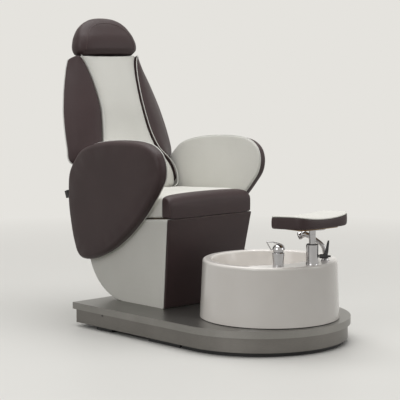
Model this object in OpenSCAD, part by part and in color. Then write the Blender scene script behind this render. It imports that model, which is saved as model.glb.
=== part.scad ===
// Pedicure spa chair on a stainless platform, with a round foot tub in front of the seat.
// Millimetres. The occupant faces -Y, their right hand is at -X, and Z runs up from the floor.
// The origin lies on the floor under the middle of the whole chair.

/* [Platform] */
// Width of the platform
plat_w = 811; // [760:1:880]
// Length of the platform, from its round nose to its square rear edge
plat_l = 1181; // [1120:1:1300]
// Height of the folded edge of the top plate
plate_h = 30; // [20:1:45]
// Height of the skirt band that shows under the plate
skirt_h = 62; // [50:1:90]
// How far the skirt stands back from the edge of the plate
skirt_inset = 12; // [6:1:25]
// Sheet thickness of plate and skirt
sheet_t = 3; // [1.5:0.5:4]
// Height of the plinth and the feet
foot_h = 18; // [12:1:40]

/* [Foot tub] */
// Distance from the nose to the axis of the tub
tub_setback = 329.5; // [320:0.5:345]
// Diameter of the tub at its base
tub_base_d = 600; // [560:1:620]
// Diameter of the tub at its rim
tub_rim_d = 577; // [540:1:600]
// Height of the tub
tub_h = 249; // [220:1:300]
// Wall thickness of the tub
tub_wall = 8; // [6:0.5:10]
// Diameter of the bowl at its lip
bowl_d = 504; // [470:1:506]
// Depth of the bowl below the rim
bowl_depth = 212; // [150:1:215]
// Distance from the tub's axis to the front edge of the bowl, where the deck begins
deck_front = 165; // [150:1:172]
// Radius of the bowl's front edge in plan
deck_arc_r = 350; // [320:1:420]

/* [Footrest] */
// Diameter of the height tube
tube_d = 28; // [22:1:30]
// Diameter of the column socket
socket_d = 52; // [46:1:56]
// Height of the socket above the deck
socket_h = 82; // [60:1:90]
// Height of the pad's underside above the deck
pad_rise = 151; // [140:1:170]
// Length of the pad across the chair
pad_l = 262; // [220:1:280]
// Width of the pad along the chair
pad_w = 172; // [140:1:190]
// Height of the pad at its raised ends
pad_h = 62; // [45:1:80]

/* [Seat] */
// Width of the pedestal at the seam under the cushion
seat_w = 514; // [480:1:524]
// Height of that seam at the front
seam_h = 516; // [490:1:530]
// Height of the front edge of the cushion
seat_h = 617; // [600:1:660]
// Depth of the cushion from front to rear
seat_d = 451; // [430:1:460]
// Lean of the pedestal's sides and the armrests, in degrees
side_lean = 4.86; // [3:0.01:6]
// Wall thickness of the pedestal's carcass
carcass_t = 15; // [12:1:20]

/* [Backrest] */
// Recline of the backrest at rest, from the vertical, in degrees
back_tilt = 20; // [16:0.5:24]
// Length of the backrest above the recline shaft
back_l = 745; // [700:1:800]
// Diameter of the recline shaft
shaft_d = 20; // [16:1:24]
// Length of the crank that the gas spring pushes
crank_r = 80; // [70:1:85]
// Full recline travel, in degrees
recline_travel = 35; // [20:1:40]
// Height of the headrest pillow
head_h = 180; // [150:1:200]

/* [Armrests] */
// Thickness of an armrest, brown form and white pad together
arm_t = 46; // [40:1:52]
// Thickness of the white pad inside it
arm_pad_t = 10; // [6:1:14]

/* [Hidden] */
$fn = 64;
joint_gap = 0.05;   // radial running clearance of every shaft, tube and pin
soft_gap = 0.4;     // clearance of upholstery from what lies beside it
leather_brown = "#4a3b3a";
leather_white = "#dcdcd6";
gloss_white = "#eceae6";
chrome = "#c9ccd0";
steel = "#9a9a96";
black = "#1c1c1e";
board_tan = "#b58f63";

// Levels and places worked out from the driving sizes
plate_bot = foot_h + skirt_h;
plate_top = plate_bot + plate_h;
spine_top = 26;
pivot_from_nose = 1234.5;
nose_y = -(pivot_from_nose + spine_top * cos(back_tilt) + back_l * sin(back_tilt)) / 2;
plat_arc_y = nose_y + plat_w / 2;
plat_rear_y = nose_y + plat_l;
tub_y = nose_y + tub_setback;
seal_h = 3;
rim_z = plate_top + seal_h + tub_h;
deck_under = rim_z - tub_wall;
bowl_z = rim_z - bowl_depth;
deck_arc_y = tub_y - deck_front + deck_arc_r;

// ---------- shared shapes ----------

// Rounded section of a padded form as [across, depth] from -1 to 1: m points over its front, the rest behind
function section(m, p) = concat(
    [for (i = [0:m - 1]) let (u = sin(180 * i / (m - 1) - 90)) [u, pow(max(0, 1 - pow(abs(u), p)), 1 / p)]],
    [for (i = [m - 2:-1:1]) let (u = sin(180 * i / (m - 1) - 90)) [u, -pow(max(0, 1 - pow(abs(u), p)), 1 / p)]]);

// Smooth curve through keys [position, value]
function key_at(k, x, i = 0) = (i >= len(k) - 2 || x < k[i + 1][0]) ? i : key_at(k, x, i + 1);
function key_slope(k, i) =
    let (a = max(i - 1, 0), b = min(i + 1, len(k) - 1))
    (k[b][1] - k[a][1]) / (k[b][0] - k[a][0]);
function curve(k, x) =
    let (i = key_at(k, x), h = k[i + 1][0] - k[i][0], t = (x - k[i][0]) / h)
    k[i][1] * (1 + 2 * t) * pow(1 - t, 2) + key_slope(k, i) * h * t * pow(1 - t, 2)
    + k[i + 1][1] * t * t * (3 - 2 * t) - key_slope(k, i + 1) * h * t * t * (1 - t);

// Closed skin over a row of rings that all have the same even number of points
module skin(rings) {
    n = len(rings[0]);
    m = len(rings);
    last = (m - 1) * n;
    sides = [for (i = [0:m - 2], j = [0:n - 1])
        let (a = i * n + j, b = i * n + (j + 1) % n)
        each [[a, b, b + n], [a, b + n, a + n]]];
    first_cap = [for (j = [0:n / 2 - 2]) each [[j + 1, j, n - 1 - j], [j + 1, n - 1 - j, n - 2 - j]]];
    last_cap = [for (j = [0:n / 2 - 2])
        each [[last + j, last + j + 1, last + n - 1 - j],
            [last + j + 1, last + n - 2 - j, last + n - 1 - j]]];
    polyhedron([for (r = rings) each r], concat(sides, first_cap, last_cap));
}

// Round tube along points [d, z] in the XZ plane, with a radius for each point
module bent_tube(path, radii, sides = 12) {
    last = len(path) - 1;
    skin([for (i = [0:last])
        let (t = path[min(i + 1, last)] - path[max(i - 1, 0)], u = t / norm(t))
        [for (j = [0:sides - 1])
            let (c = radii[i] * cos(360 * j / sides), s = radii[i] * sin(360 * j / sides))
            [path[i][0] - u[1] * c, s, path[i][1] + u[0] * c]]]);
}

// How far a padded form draws in near its two ends
function end_inset(v, v0, v1, r) =
    let (d = min(v - v0, v1 - v)) d >= r ? 0 : r - sqrt(max(0, r * r - (r - d) * (r - d)));
function stations(v0, v1, r, n) = concat(
    [for (q = [0, 0.07, 0.3, 0.65]) v0 + r * q],
    [for (i = [0:n]) v0 + r + (v1 - v0 - 2 * r) * i / n],
    [for (q = [0.65, 0.3, 0.07, 0]) v1 - r * q]);

// Padded form: at each station v its section lies between lo and hi across and back and front in depth
module padded(vs, r, lo, hi, front, back, place, m = 13, p = 5.6) {
    v0 = vs[0];
    v1 = vs[len(vs) - 1];
    skin([for (v = vs)
        let (q = end_inset(v, v0, v1, r), qa = min(q, (hi(v) - lo(v)) * 0.36), a0 = lo(v) + qa, a1 = hi(v) - qa)
        [for (c = section(m, p))
            let (a = (a0 + a1) / 2 + (a1 - a0) / 2 * c[0], wf = front(a, v), wb = back(a, v),
                 half = abs(wf - wb) / 2 - min(q, abs(wf - wb) / 2 - 1))
            place(a, v, (wf + wb) / 2 + sign(wf - wb) * half * c[1])]]);
}

// ---------- platform ----------

module plat_outline(inset) {
    r = plat_w / 2 - inset;
    translate([0, plat_arc_y]) circle(r, $fn = 128);
    translate([-r, plat_arc_y]) square([2 * r, plat_rear_y - inset - plat_arc_y]);
}

module plat_band(z, h, outer, inner) {
    translate([0, 0, z]) linear_extrude(h) difference() {
        plat_outline(outer);
        plat_outline(inner);
    }
}

drain_y = tub_y + 20;
tail_r = 20;

module platform_plate() color(steel) difference() {
    translate([0, 0, plate_bot]) linear_extrude(plate_h) plat_outline(0);
    translate([0, 0, plate_bot - 1]) linear_extrude(plate_h - sheet_t + 1) plat_outline(sheet_t);
    translate([0, drain_y, plate_bot]) cylinder(h = plate_h + 1, r = tail_r + 8);
}

module platform_skirt() color(steel)
    plat_band(foot_h, plate_top - sheet_t - foot_h, skirt_inset, skirt_inset + sheet_t);

rail_w = 40;
rail_z = foot_h + 29;
rail_h = plate_top - sheet_t - rail_z;
rail_x = 195;
rail_wall = 3;
module box_tube(size, wall) difference() {
    cube(size);
    translate([-1, wall, wall]) cube([size[0] + 2, size[1] - 2 * wall, size[2] - 2 * wall]);
}

module chassis_rails() color(steel)
    for (s = [-1, 1]) translate([s * (rail_x + rail_w / 2), plat_rear_y - 22, rail_z])
        rotate(-90) translate([0, -rail_w / 2, 0]) box_tube([plat_l - 190, rail_w, rail_h], rail_wall);

cross_y = [-505, -315, -115, 233];
cross_w = 50;
skirt_in_r = plat_w / 2 - skirt_inset - sheet_t;
function cross_half(y) =
    (y > plat_arc_y ? skirt_in_r : sqrt(pow(skirt_in_r, 2) - pow(y - cross_w / 2 - plat_arc_y, 2))) - 6;

module cross_members() color(steel)
    for (y = cross_y) translate([-cross_half(y), y - cross_w / 2, foot_h])
        box_tube([2 * cross_half(y), cross_w, rail_z - foot_h], rail_wall);

plinth_in = skirt_inset + 16;
plinth_w = 42;
plinth_split = -275;
plinth_rear = -65;
plinth_gap = 12;
module plinth_part(y0, y1) intersection() {
    plat_band(0, foot_h, plinth_in, plinth_in + plinth_w);
    translate([-plat_w, y0, -1]) cube([2 * plat_w, y1 - y0, foot_h + 2]);
}
module plinth_nose() color(black) plinth_part(nose_y, plinth_split - plinth_gap / 2);
module plinth_sides() color(black) plinth_part(plinth_split + plinth_gap / 2, plinth_rear);

rear_foot = [62, 106];
module rear_feet() color(black)
    for (s = [-1, 1]) translate([s * (plat_w / 2 - plinth_in - rear_foot[0] / 2), cross_y[3], 0])
        translate([-rear_foot[0] / 2, -rear_foot[1] / 2, 0]) cube([rear_foot[0], rear_foot[1], foot_h]);

// ---------- foot tub ----------

rim_round = 12;
lip_round = 10;
bowl_draft = 9;
bowl_fillet = 42;
wall_slope = (tub_base_d - tub_rim_d) / 2 / tub_h;

// Half section of a bowl about its own axis, with its wall, its floor fillet and no lip
module bowl_half(lip_r, grow, top) {
    f = bowl_fillet + grow;
    floor_z = bowl_z - grow;
    wall = function(z) lip_r + grow / cos(bowl_draft) - (rim_z - z) * tan(bowl_draft);
    cr = wall(floor_z + f) - f / cos(bowl_draft);
    polygon([[0, floor_z], [cr, floor_z],
        [cr + f * cos(bowl_draft), floor_z + f - f * sin(bowl_draft)], [wall(top), top], [0, top]]);
    translate([cr, floor_z + f]) circle(f);
}

// Rounding of the lip, as the space that it leaves open
module lip_half(lip_r) difference() {
    translate([lip_r - 2, rim_z - lip_round]) square([lip_round + 2, lip_round + 1]);
    translate([lip_r + lip_round, rim_z - lip_round]) circle(lip_round);
}

module bowl_space(grow, top, lip) {
    intersection() {
        translate([0, tub_y, 0]) rotate_extrude($fn = 128) {
            bowl_half(bowl_d / 2, grow, top);
            if (lip) lip_half(bowl_d / 2);
        }
        translate([0, deck_arc_y, 0]) rotate_extrude($fn = 160) {
            bowl_half(deck_arc_r, grow, top);
            if (lip) lip_half(deck_arc_r);
        }
    }
}

module tub_half(inset, z0, z1, round_r) {
    r0 = tub_base_d / 2 - inset;
    r1 = tub_rim_d / 2 - inset;
    polygon([[0, z0], [r0, z0], [r1 + wall_slope * round_r, z1 - round_r], [r1 - round_r, z1], [0, z1]]);
    translate([r1 - round_r + wall_slope * round_r, z1 - round_r]) circle(round_r);
}

mixer_angle = 232.3;
mixer_reach = 240;
shower_at = [114, -215];
column_y = tub_y - 244.5;
shank_r = 16;
socket_shank_r = 19;
module at_mixer() translate([mixer_reach * cos(mixer_angle - 0), tub_y + mixer_reach * sin(mixer_angle), 0])
    children();
module at_shower() translate([shower_at[0], tub_y + shower_at[1], 0]) children();
module at_column() translate([0, column_y, 0]) children();

module tub() color(gloss_white) difference() {
    union() {
        difference() {
            translate([0, tub_y, 0]) rotate_extrude($fn = 128)
                tub_half(0, plate_top + seal_h, rim_z, rim_round);
            translate([0, tub_y, 0]) rotate_extrude($fn = 128)
                tub_half(tub_wall, plate_top + seal_h - 1, deck_under, 4);
        }
        bowl_space(tub_wall, deck_under + 1, false);
    }
    bowl_space(0, rim_z + 1, true);
    at_mixer() translate([0, 0, deck_under - 1]) cylinder(h = tub_wall + 2, r = shank_r + 0.3);
    at_shower() translate([0, 0, deck_under - 1]) cylinder(h = tub_wall + 2, r = shank_r + 0.3);
    at_column() translate([0, 0, deck_under - 1]) cylinder(h = tub_wall + 2, r = socket_shank_r + 0.3);
    translate([0, drain_y, bowl_z - tub_wall - 1]) cylinder(h = tub_wall + 2, r = drain_neck_r + 0.3);
}

module tub_seal() color(black) translate([0, tub_y, plate_top]) difference() {
    cylinder(h = seal_h, r = tub_base_d / 2 - 2, $fn = 128);
    translate([0, 0, -1]) cylinder(h = seal_h + 2, r = tub_base_d / 2 - tub_wall, $fn = 128);
}

// ---------- drain ----------

drain_neck_r = 22;
drain_lip_r = 34;
drain_lip_t = 3;
plug_stem_r = 4;
plug_r = 17;
plug_gap = 1;
nut_t = 8;

module drain_flange() color(chrome) translate([0, drain_y, 0]) difference() {
    union() {
        translate([0, 0, bowl_z]) cylinder(h = drain_lip_t, r1 = drain_lip_r, r2 = drain_lip_r - 2);
        translate([0, 0, bowl_z - tub_wall - nut_t - 4])
            cylinder(h = tub_wall + nut_t + 5, r = drain_neck_r);
        translate([0, 0, bowl_z - tub_wall - nut_t]) cylinder(h = nut_t, r = drain_lip_r - 4, $fn = 6);
    }
    translate([0, 0, bowl_z - tub_wall - nut_t - 5]) difference() {
        cylinder(h = 60, r = drain_neck_r - 3);
        for (a = [0, 90]) rotate(a) translate([-drain_neck_r, -1.5, 10]) cube([2 * drain_neck_r, 3, 6]);
        translate([0, 0, 10]) cylinder(h = 6, r = plug_stem_r + 3);
    }
    translate([0, 0, bowl_z - 30]) cylinder(h = 60, r = plug_stem_r + joint_gap);
}

module drain_plug() color(chrome) translate([0, drain_y, 0]) {
    translate([0, 0, bowl_z + drain_lip_t + plug_gap]) cylinder(h = 3, r1 = plug_r, r2 = plug_r - 2);
    translate([0, 0, bowl_z - 14]) cylinder(h = 18 + drain_lip_t + plug_gap - 3, r = plug_stem_r);
}

tail_top = bowl_z - tub_wall - nut_t - 4;
tail_bot = 55;
module drain_tail() color(black) translate([0, drain_y, tail_bot]) difference() {
    cylinder(h = tail_top - tail_bot, r = tail_r);
    translate([0, 0, -1]) cylinder(h = tail_top - tail_bot + 2, r = tail_r - 3);
}

// ---------- mixer ----------

mixer_foot_r = 21.5;
mixer_top_r = 26.5;
mixer_h = 57;
ball_r = 22;
ball_z = rim_z + mixer_h + 11;
lever_dir = 135;
cap_wall = 3;

module mixer_body() color(chrome) at_mixer() {
    translate([0, 0, rim_z]) rotate_extrude() polygon([[0, 0], [mixer_foot_r + 1.5, 0],
        [mixer_foot_r + 1.5, 3], [mixer_foot_r, 4], [mixer_top_r - 1, mixer_h - 2],
        [mixer_top_r - 2.5, mixer_h], [0, mixer_h]]);
    translate([0, 0, deck_under - 45]) cylinder(h = tub_wall + 46, r = shank_r);
}

module mixer_nut() color(steel) at_mixer() translate([0, 0, deck_under - 7]) difference() {
    cylinder(h = 7, r = 22, $fn = 6);
    translate([0, 0, -1]) cylinder(h = 9, r = shank_r + joint_gap);
}

module mixer_cartridge() color(steel) at_mixer() intersection() {
    translate([0, 0, ball_z]) sphere(ball_r);
    translate([0, 0, rim_z + mixer_h + 0.3]) cylinder(h = 40, r = 40);
}

// Outline of the loop handle beside the cap, with d along the handle and z up from the ball's centre
loop_out = [[20, -3], [20, 13], [29, 24], [42, 33], [49, 34], [41, 17], [33, 3], [30, -3]];
loop_in = [[25, 13], [33, 22], [42, 28], [37, 15], [31, 9]];
loop_w = 14;
module mixer_lever() color(chrome) at_mixer() translate([0, 0, ball_z]) rotate(lever_dir) difference() {
    union() {
        intersection() {
            sphere(ball_r + joint_gap + cap_wall);
            translate([0, 0, 0]) cylinder(h = 40, r = 40);
        }
        rotate([90, 0, 0]) translate([0, 0, -loop_w / 2]) linear_extrude(loop_w) difference() {
            polygon(loop_out);
            polygon(loop_in);
        }
    }
    sphere(ball_r + joint_gap);
}

// ---------- hand shower ----------

shower_dir = 118;
holder_r = 18;
holder_h = 18;
handle_r = 9;
module shower_holder() color(chrome) at_shower() difference() {
    union() {
        translate([0, 0, rim_z]) cylinder(h = 4, r = holder_r);
        translate([0, 0, rim_z + 4]) cylinder(h = holder_h - 4, r1 = holder_r - 2, r2 = holder_r - 5);
        translate([0, 0, deck_under - 30]) cylinder(h = tub_wall + 31, r = shank_r);
    }
    translate([0, 0, deck_under - 31]) cylinder(h = 80, r = handle_r + joint_gap);
}

// Centre line of the handle, with d towards the bowl and z above the rim, and its radius there
shower_line = [[0, 12], [0, 19], [0.5, 30], [2, 46], [7, 58], [17, 69], [30, 79], [45, 89], [60, 98],
    [74, 105], [86, 109]];
shower_radii = [8.4, 8.8, 10, 10, 9.5, 9.2, 9.2, 9.6, 10.5, 12, 12.5];
head_at = [100, 107];
head_tilt = 22;
module hand_shower() color(chrome) at_shower() rotate(shower_dir) translate([0, 0, rim_z]) {
    translate([0, 0, -20]) cylinder(h = 38, r = handle_r);
    bent_tube(shower_line, shower_radii, 16);
    translate([head_at[0] - 20 * cos(head_tilt), 0, head_at[1] + 20 * sin(head_tilt)])
        rotate([0, 90 + head_tilt, 0]) cylinder(h = 34, r1 = 12, r2 = 17);
}
module spray_face() color(black) at_shower() rotate(shower_dir) translate([0, 0, rim_z])
    translate([head_at[0] + 14 * cos(head_tilt), 0, head_at[1] - 14 * sin(head_tilt)])
    rotate([0, 90 + head_tilt, 0]) {
        cylinder(h = 3, r = 16);
        for (a = [0:45:315]) rotate(a) translate([10, 0, 2]) cylinder(h = 2, r = 1.3);
    }

// ---------- footrest ----------

tube_r = tube_d / 2;
socket_r = socket_d / 2;
socket_top = rim_z + socket_h;
socket_bot = rim_z - 80;
collar_h = 14;
collar_lip = 3;
collar_r = 20;
pad_z = rim_z + pad_rise;
pad_y = column_y + 17;
tube_top = pad_z - 8;
tube_bot = socket_bot + 10;
spigot_r = 9;
stud_dir = -45;
stud_z = rim_z + 33.5;
stud_r = 5;
stud_len = 34;

module foot_socket() color(chrome) at_column() difference() {
    union() {
        translate([0, 0, rim_z + 3]) cylinder(h = socket_h - 3, r = socket_r);
        translate([0, 0, rim_z]) cylinder(h = 3, r1 = socket_r + 1, r2 = socket_r);
        translate([0, 0, socket_bot]) cylinder(h = rim_z - socket_bot + 1, r = socket_shank_r);
    }
    translate([0, 0, socket_bot - 1]) cylinder(h = 300, r = tube_r + 1);
    translate([0, 0, socket_top - collar_h]) cylinder(h = collar_h + 1, r = collar_r + joint_gap);
    rotate(stud_dir) translate([tube_r, 0, stud_z]) rotate([0, 90, 0])
        cylinder(h = socket_r, r = stud_r + joint_gap);
}

module socket_nut() color(steel) at_column() translate([0, 0, deck_under - 10]) difference() {
    cylinder(h = 10, r = 28, $fn = 6);
    translate([0, 0, -1]) cylinder(h = 12, r = socket_shank_r + joint_gap);
}

module guide_collar() color(black) at_column() translate([0, 0, socket_top - collar_h]) difference() {
    union() {
        cylinder(h = collar_h + 0.1, r = collar_r);
        translate([0, 0, collar_h]) cylinder(h = collar_lip, r1 = socket_r - 1, r2 = socket_r - 3);
    }
    translate([0, 0, -1]) cylinder(h = collar_h + collar_lip + 2, r = tube_r + joint_gap);
}

module height_tube() color(chrome) at_column() {
    difference() {
        translate([0, 0, tube_bot]) cylinder(h = tube_top - 18 - tube_bot, r = tube_r);
        translate([0, 0, tube_bot - 1]) cylinder(h = 60, r = tube_r - 2.5);
    }
    translate([0, 0, tube_top - 18.5]) cylinder(h = 24, r = spigot_r);
}

hub_flange_r = 55;
board_t = 8;
module swivel_hub() color(chrome) at_column() difference() {
    union() {
        translate([0, 0, tube_top - 17.7]) cylinder(h = 21.7, r = tube_r);
        translate([0, 0, pad_z - 4]) cylinder(h = 4, r = hub_flange_r);
    }
    translate([0, 0, tube_top - 19]) cylinder(h = 60, r = spigot_r + joint_gap);
}

module pad_board() color(board_tan) translate([0, pad_y, pad_z]) linear_extrude(board_t)
    rounded_plate(pad_l - 30, pad_w - 30, 30);

module rounded_plate(l, w, r) {
    square([l - 2 * r, w], center = true);
    square([l, w - 2 * r], center = true);
    for (x = [-1, 1], y = [-1, 1]) translate([x * (l / 2 - r), y * (w / 2 - r)]) circle(r);
}

// The saddle of the pad: low in the middle, raised towards both ends, a little lower at the rear
pad_dip = 17;
pad_fall = 6;
band_h = 36;
function saddle(x, y) =
    let (u = 2 * x / pad_l, t = 2 * y / pad_w) -pad_dip * (1 - pow(abs(u), 2.2)) - pad_fall * (t + 1) / 2;
function pad_half(y) = pad_l / 2 * pow(max(0, 1 - pow(abs(2 * y / pad_w), 4)), 0.22);
pad_ys = [for (t = [-1, -0.99, -0.95, -0.86, -0.7, -0.45, -0.15, 0.15, 0.45, 0.7, 0.86, 0.95, 0.99, 1])
    t * (pad_w / 2 - 0.2)];
module pad_slice(z_low, z_high, draw) {
    skin([for (y = pad_ys)
        let (h = max(4, pad_half(y) - draw))
        [for (c = section(12, 4))
            let (x = h * c[0], lo = z_low(x, y), hi = z_high(x, y))
            [-x, pad_y + y * (1 - draw / pad_w * 2), pad_z + (lo + hi) / 2 + (hi - lo) / 2 * c[1]]]]);
}
pad_floor = board_t + soft_gap;
module footrest_band() color(leather_brown) difference() {
    pad_slice(function(x, y) 0, function(x, y) pad_h - 16 + saddle(x, y), 0);
    translate([0, pad_y, pad_z - 1]) linear_extrude(pad_floor + 1)
        rounded_plate(pad_l - 30 + 2 * soft_gap, pad_w - 30 + 2 * soft_gap, 30 + soft_gap);
}
module footrest_top() color(leather_white)
    pad_slice(function(x, y) pad_h - 16 + 2 * soft_gap + saddle(x, y),
        function(x, y) pad_h - 2 + saddle(x, y) + 6 * (1 - pow(2 * y / pad_w, 2)), 3);

module clamp_stud() color(steel) at_column() rotate(stud_dir) translate([tube_r + 1.5, 0, stud_z])
    rotate([0, 90, 0]) cylinder(h = stud_len, r = stud_r);

lever_gap = 4;
module clamp_lever() color(black) at_column() rotate(stud_dir) translate([0, 0, stud_z]) difference() {
    union() {
        translate([socket_r + lever_gap, 0, 0]) rotate([0, 90, 0]) cylinder(h = 34, r1 = 8.5, r2 = 10.5);
        translate([socket_r + lever_gap + 33, 0, 0]) rotate([0, 90, 0]) cylinder(h = 13, r = 4);
        hull() {
            translate([socket_r + lever_gap + 26, 0, 2]) sphere(8, $fn = 20);
            translate([socket_r + lever_gap + 33, 0, 34]) sphere(5, $fn = 20);
        }
        hull() {
            translate([socket_r + lever_gap + 33, 0, 34]) sphere(5, $fn = 20);
            translate([socket_r + lever_gap + 37, 0, 64]) sphere(4, $fn = 20);
        }
    }
    translate([socket_r, 0, 0]) rotate([0, 90, 0])
        cylinder(h = tube_r + 1.5 + stud_len - socket_r + 0.5, r = stud_r + joint_gap);
}

// ---------- pedestal ----------

lean = tan(side_lean);
seat_half = seat_w / 2;
seat_front_y = nose_y + 704.2;
foot_front_y = nose_y + 768.8;
ped_top_rear_y = nose_y + 1303.5;
ped_arc = [nose_y + 1053.1, plate_top + 224.7];
ped_arc_r = 224.7;
seam_fall = 0.088;
pivot = [nose_y + pivot_from_nose, seam_h - 11];
function seam_z(y) = seam_h - seam_fall * (y - seat_front_y);
function side_half(z) = seat_half - lean * (seam_h - z);

// Front and rear of the pedestal at height z, drawn in by g
function ped_front(z, g) =
    seat_front_y + (foot_front_y - seat_front_y) * (seam_h - z) / (seam_h - plate_top) + g;
function ped_rear(z, g) =
    let (r = ped_arc_r - g, dz = ped_arc[1] - z)
    z < ped_arc[1] ? ped_arc[0] + sqrt(max(0, r * r - dz * dz))
        : ped_arc[0] + r + (ped_top_rear_y - ped_arc[0] - ped_arc_r) * (z - ped_arc[1]) / (seam_z(ped_top_rear_y) - ped_arc[1]);

// Plan ring of the pedestal at share t of its height, with rounded corners, drawn in by g
corner_r = 18;
function ped_ring(t, g, z_low) = [for (c = [0:3], k = [0:4])
    let (sx = (c == 0 || c == 3) ? -1 : 1, rear = c >= 2,
         ang = 180 + 90 * c + 22.5 * k, z0 = z_low,
         y_c = rear ? 1 : -1, q = corner_r - min(g, corner_r - 4),
         zt = z0 + t * (seam_z(rear ? ped_top_rear_y : seat_front_y) - z0),
         yf = (rear ? ped_rear(zt, g) : ped_front(zt, g)) - y_c * q,
         xf = sx * (side_half(zt) - g - q))
    [xf + q * cos(ang), yf + q * sin(ang), zt]];
ped_levels = [0, 0.01, 0.035, 0.08, 0.15, 0.25, 0.38, 0.55, 0.75, 1];
module pedestal_shell() color(leather_white)
    skin(concat(
        [for (t = ped_levels) ped_ring(t, 0, plate_top)],
        [for (i = [len(ped_levels) - 1:-1:0]) ped_ring(ped_levels[i], carcass_t, plate_top + carcass_t)]));

panel_t = 12;
module front_panel() color(leather_brown)
    padded(stations(plate_top + 4, seam_h - 2, 7, 4), 7,
        function(v) -side_half(v) + 5, function(v) side_half(v) - 5,
        function(a, v) panel_t + 3 * (1 - pow(a / 260, 2)), function(a, v) soft_gap,
        function(a, v, w) [a, ped_front(v, 0) - w, v], 13, 6.5);

// ---------- steel work inside the pedestal ----------

plate_x = 185;
steel_t = 6;
floor_z = plate_top + carcass_t;
pin_fit = joint_gap;
module side_outline() {
    y0 = pivot[0] - 330;
    difference() {
        union() {
            polygon([[y0, floor_z], [pivot[0] - 70, floor_z], [pivot[0] - 30, floor_z + 60],
                [pivot[0] - 30, pivot[1] - 66], [pivot[0] - 20, pivot[1] - 25], [pivot[0] - 30, pivot[1] + 8],
                [pivot[0] - 62, seam_z(pivot[0] - 62) - seat_board_t - 0.3],
                [y0, seam_z(y0) - seat_board_t - 0.3]]);
            translate([pivot[0], pivot[1]]) circle(25);
        }
        difference() {
            translate([ped_arc[0], floor_z - 1]) square([400, ped_arc[1] - floor_z + 1]);
            translate(ped_arc) circle(ped_arc_r - carcass_t - 2);
        }
        for (k = [0, 1]) translate([y0 + 80 + 140 * k, floor_z + 80]) circle(52);
        for (k = [0, 1]) translate([y0 + 80 + 140 * k, floor_z + 220]) circle(52);
    }
}
module side_plate(s) {
    translate([s * plate_x - steel_t / 2, 0, 0]) difference() {
        rotate([90, 0, 90]) linear_extrude(steel_t) side_outline();
        translate([-1, pivot[0], pivot[1]]) rotate([0, 90, 0])
            cylinder(h = steel_t + 2, r = shaft_d / 2 + pin_fit);
        for (p = tie_at) translate([-1, p[0], p[1]]) rotate([0, 90, 0])
            cylinder(h = steel_t + 2, r = tie_r + pin_fit);
    }
    x_in = s > 0 ? plate_x - 40 - steel_t / 2 : -plate_x + steel_t / 2;
    translate([x_in, pivot[0] - 330, floor_z]) cube([40, 140, 5]);
}
tie_r = 13;
tie_at = [[pivot[0] - 315, floor_z + 150], [pivot[0] - 130, floor_z + 34], [pivot[0] - 318, floor_z + 300]];
module side_plate_right() color(steel) side_plate(-1);
module side_plate_left() color(steel) side_plate(1);
module tie_tubes() color(steel)
    for (p = tie_at) translate([-plate_x - steel_t / 2 - 3, p[0], p[1]]) rotate([0, 90, 0]) difference() {
        cylinder(h = 2 * plate_x + steel_t + 6, r = tie_r);
        translate([0, 0, -1]) cylinder(h = 2 * plate_x + steel_t + 8, r = tie_r - 2);
    }

seat_board_t = 15;
seat_rear_y = seat_front_y + seat_d;
module seat_board() color(board_tan)
    rotate([90, 0, 90]) translate([0, 0, -seat_half + carcass_t + 9]) linear_extrude(seat_w - 2 * carcass_t - 18)
        polygon([for (y = [seat_front_y + carcass_t + 5, seat_rear_y - 10]) [y, seam_z(y)],
            for (y = [seat_rear_y - 10, seat_front_y + carcass_t + 5]) [y, seam_z(y) - seat_board_t]]);

// ---------- seat cushion ----------

seat_fall = 0.045;
front_pad_t = 40;
front_round = 34;
function seat_top(a, y) = seat_h - seat_fall * (y - seat_front_y) + 8 * (1 - pow(a / seat_half, 2))
    - 6 * pow(max(0, 1 - (y - seat_front_y) / 90), 2);
function seat_side(v) = seat_half - 4 - 4 * pow((v - seat_front_y - 230) / 240, 2);
module seat_cushion() color(leather_white)
    padded(stations(seat_front_y + front_pad_t + soft_gap, seat_rear_y, 14, 7), 14,
        function(v) -seat_side(v), function(v) seat_side(v),
        function(a, v) seat_top(a, v), function(a, v) seam_z(v) + soft_gap,
        function(a, v, w) [-a, v, w], 14, 5.6);
// Brown front of the cushion: it rolls over the top edge and has full rounded top corners
module seat_front() color(leather_brown)
    skin([for (q = [0, 1, 4, 9, 16, 25, 33, 38, 40])
        let (y = seat_front_y + q, d = max(0, front_round - q), side = end_inset(q, 0, front_pad_t, 7),
             drop = max(side, front_round - sqrt(front_round * front_round - d * d)),
             half = seat_side(y) + 1 - side)
        [for (i = [0:25])
            let (c = section(14, i < 14 ? 4.6 : 9)[i], a = half * c[0], lo = seam_h + soft_gap + side,
                 hi = seat_top(a, y) + 3 - drop, mid = (lo + hi) / 2)
            [-a, y, mid + (hi - lo) / 2 * c[1]]]]);

// ---------- backrest ----------
// Local frame about the recline shaft: a across, v up along the back, w to the rear, square to it

function back_at(a, v, w) = [a,
    pivot[0] + w * cos(back_tilt) + v * sin(back_tilt),
    pivot[1] + v * cos(back_tilt) - w * sin(back_tilt)];
// The upholstered back is bowed along its top edge: a little lower in the middle than at its corners
top_bow = 15;
function bowed_at(a, v, w) =
    back_at(a, v - top_bow * (1 - pow(a / 205, 2)) * pow(max(0, (v - up(600)) / up(145)), 2), w);
module in_back() translate([0, pivot[0], pivot[1]]) rotate([-back_tilt, 0, 0]) children();

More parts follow.
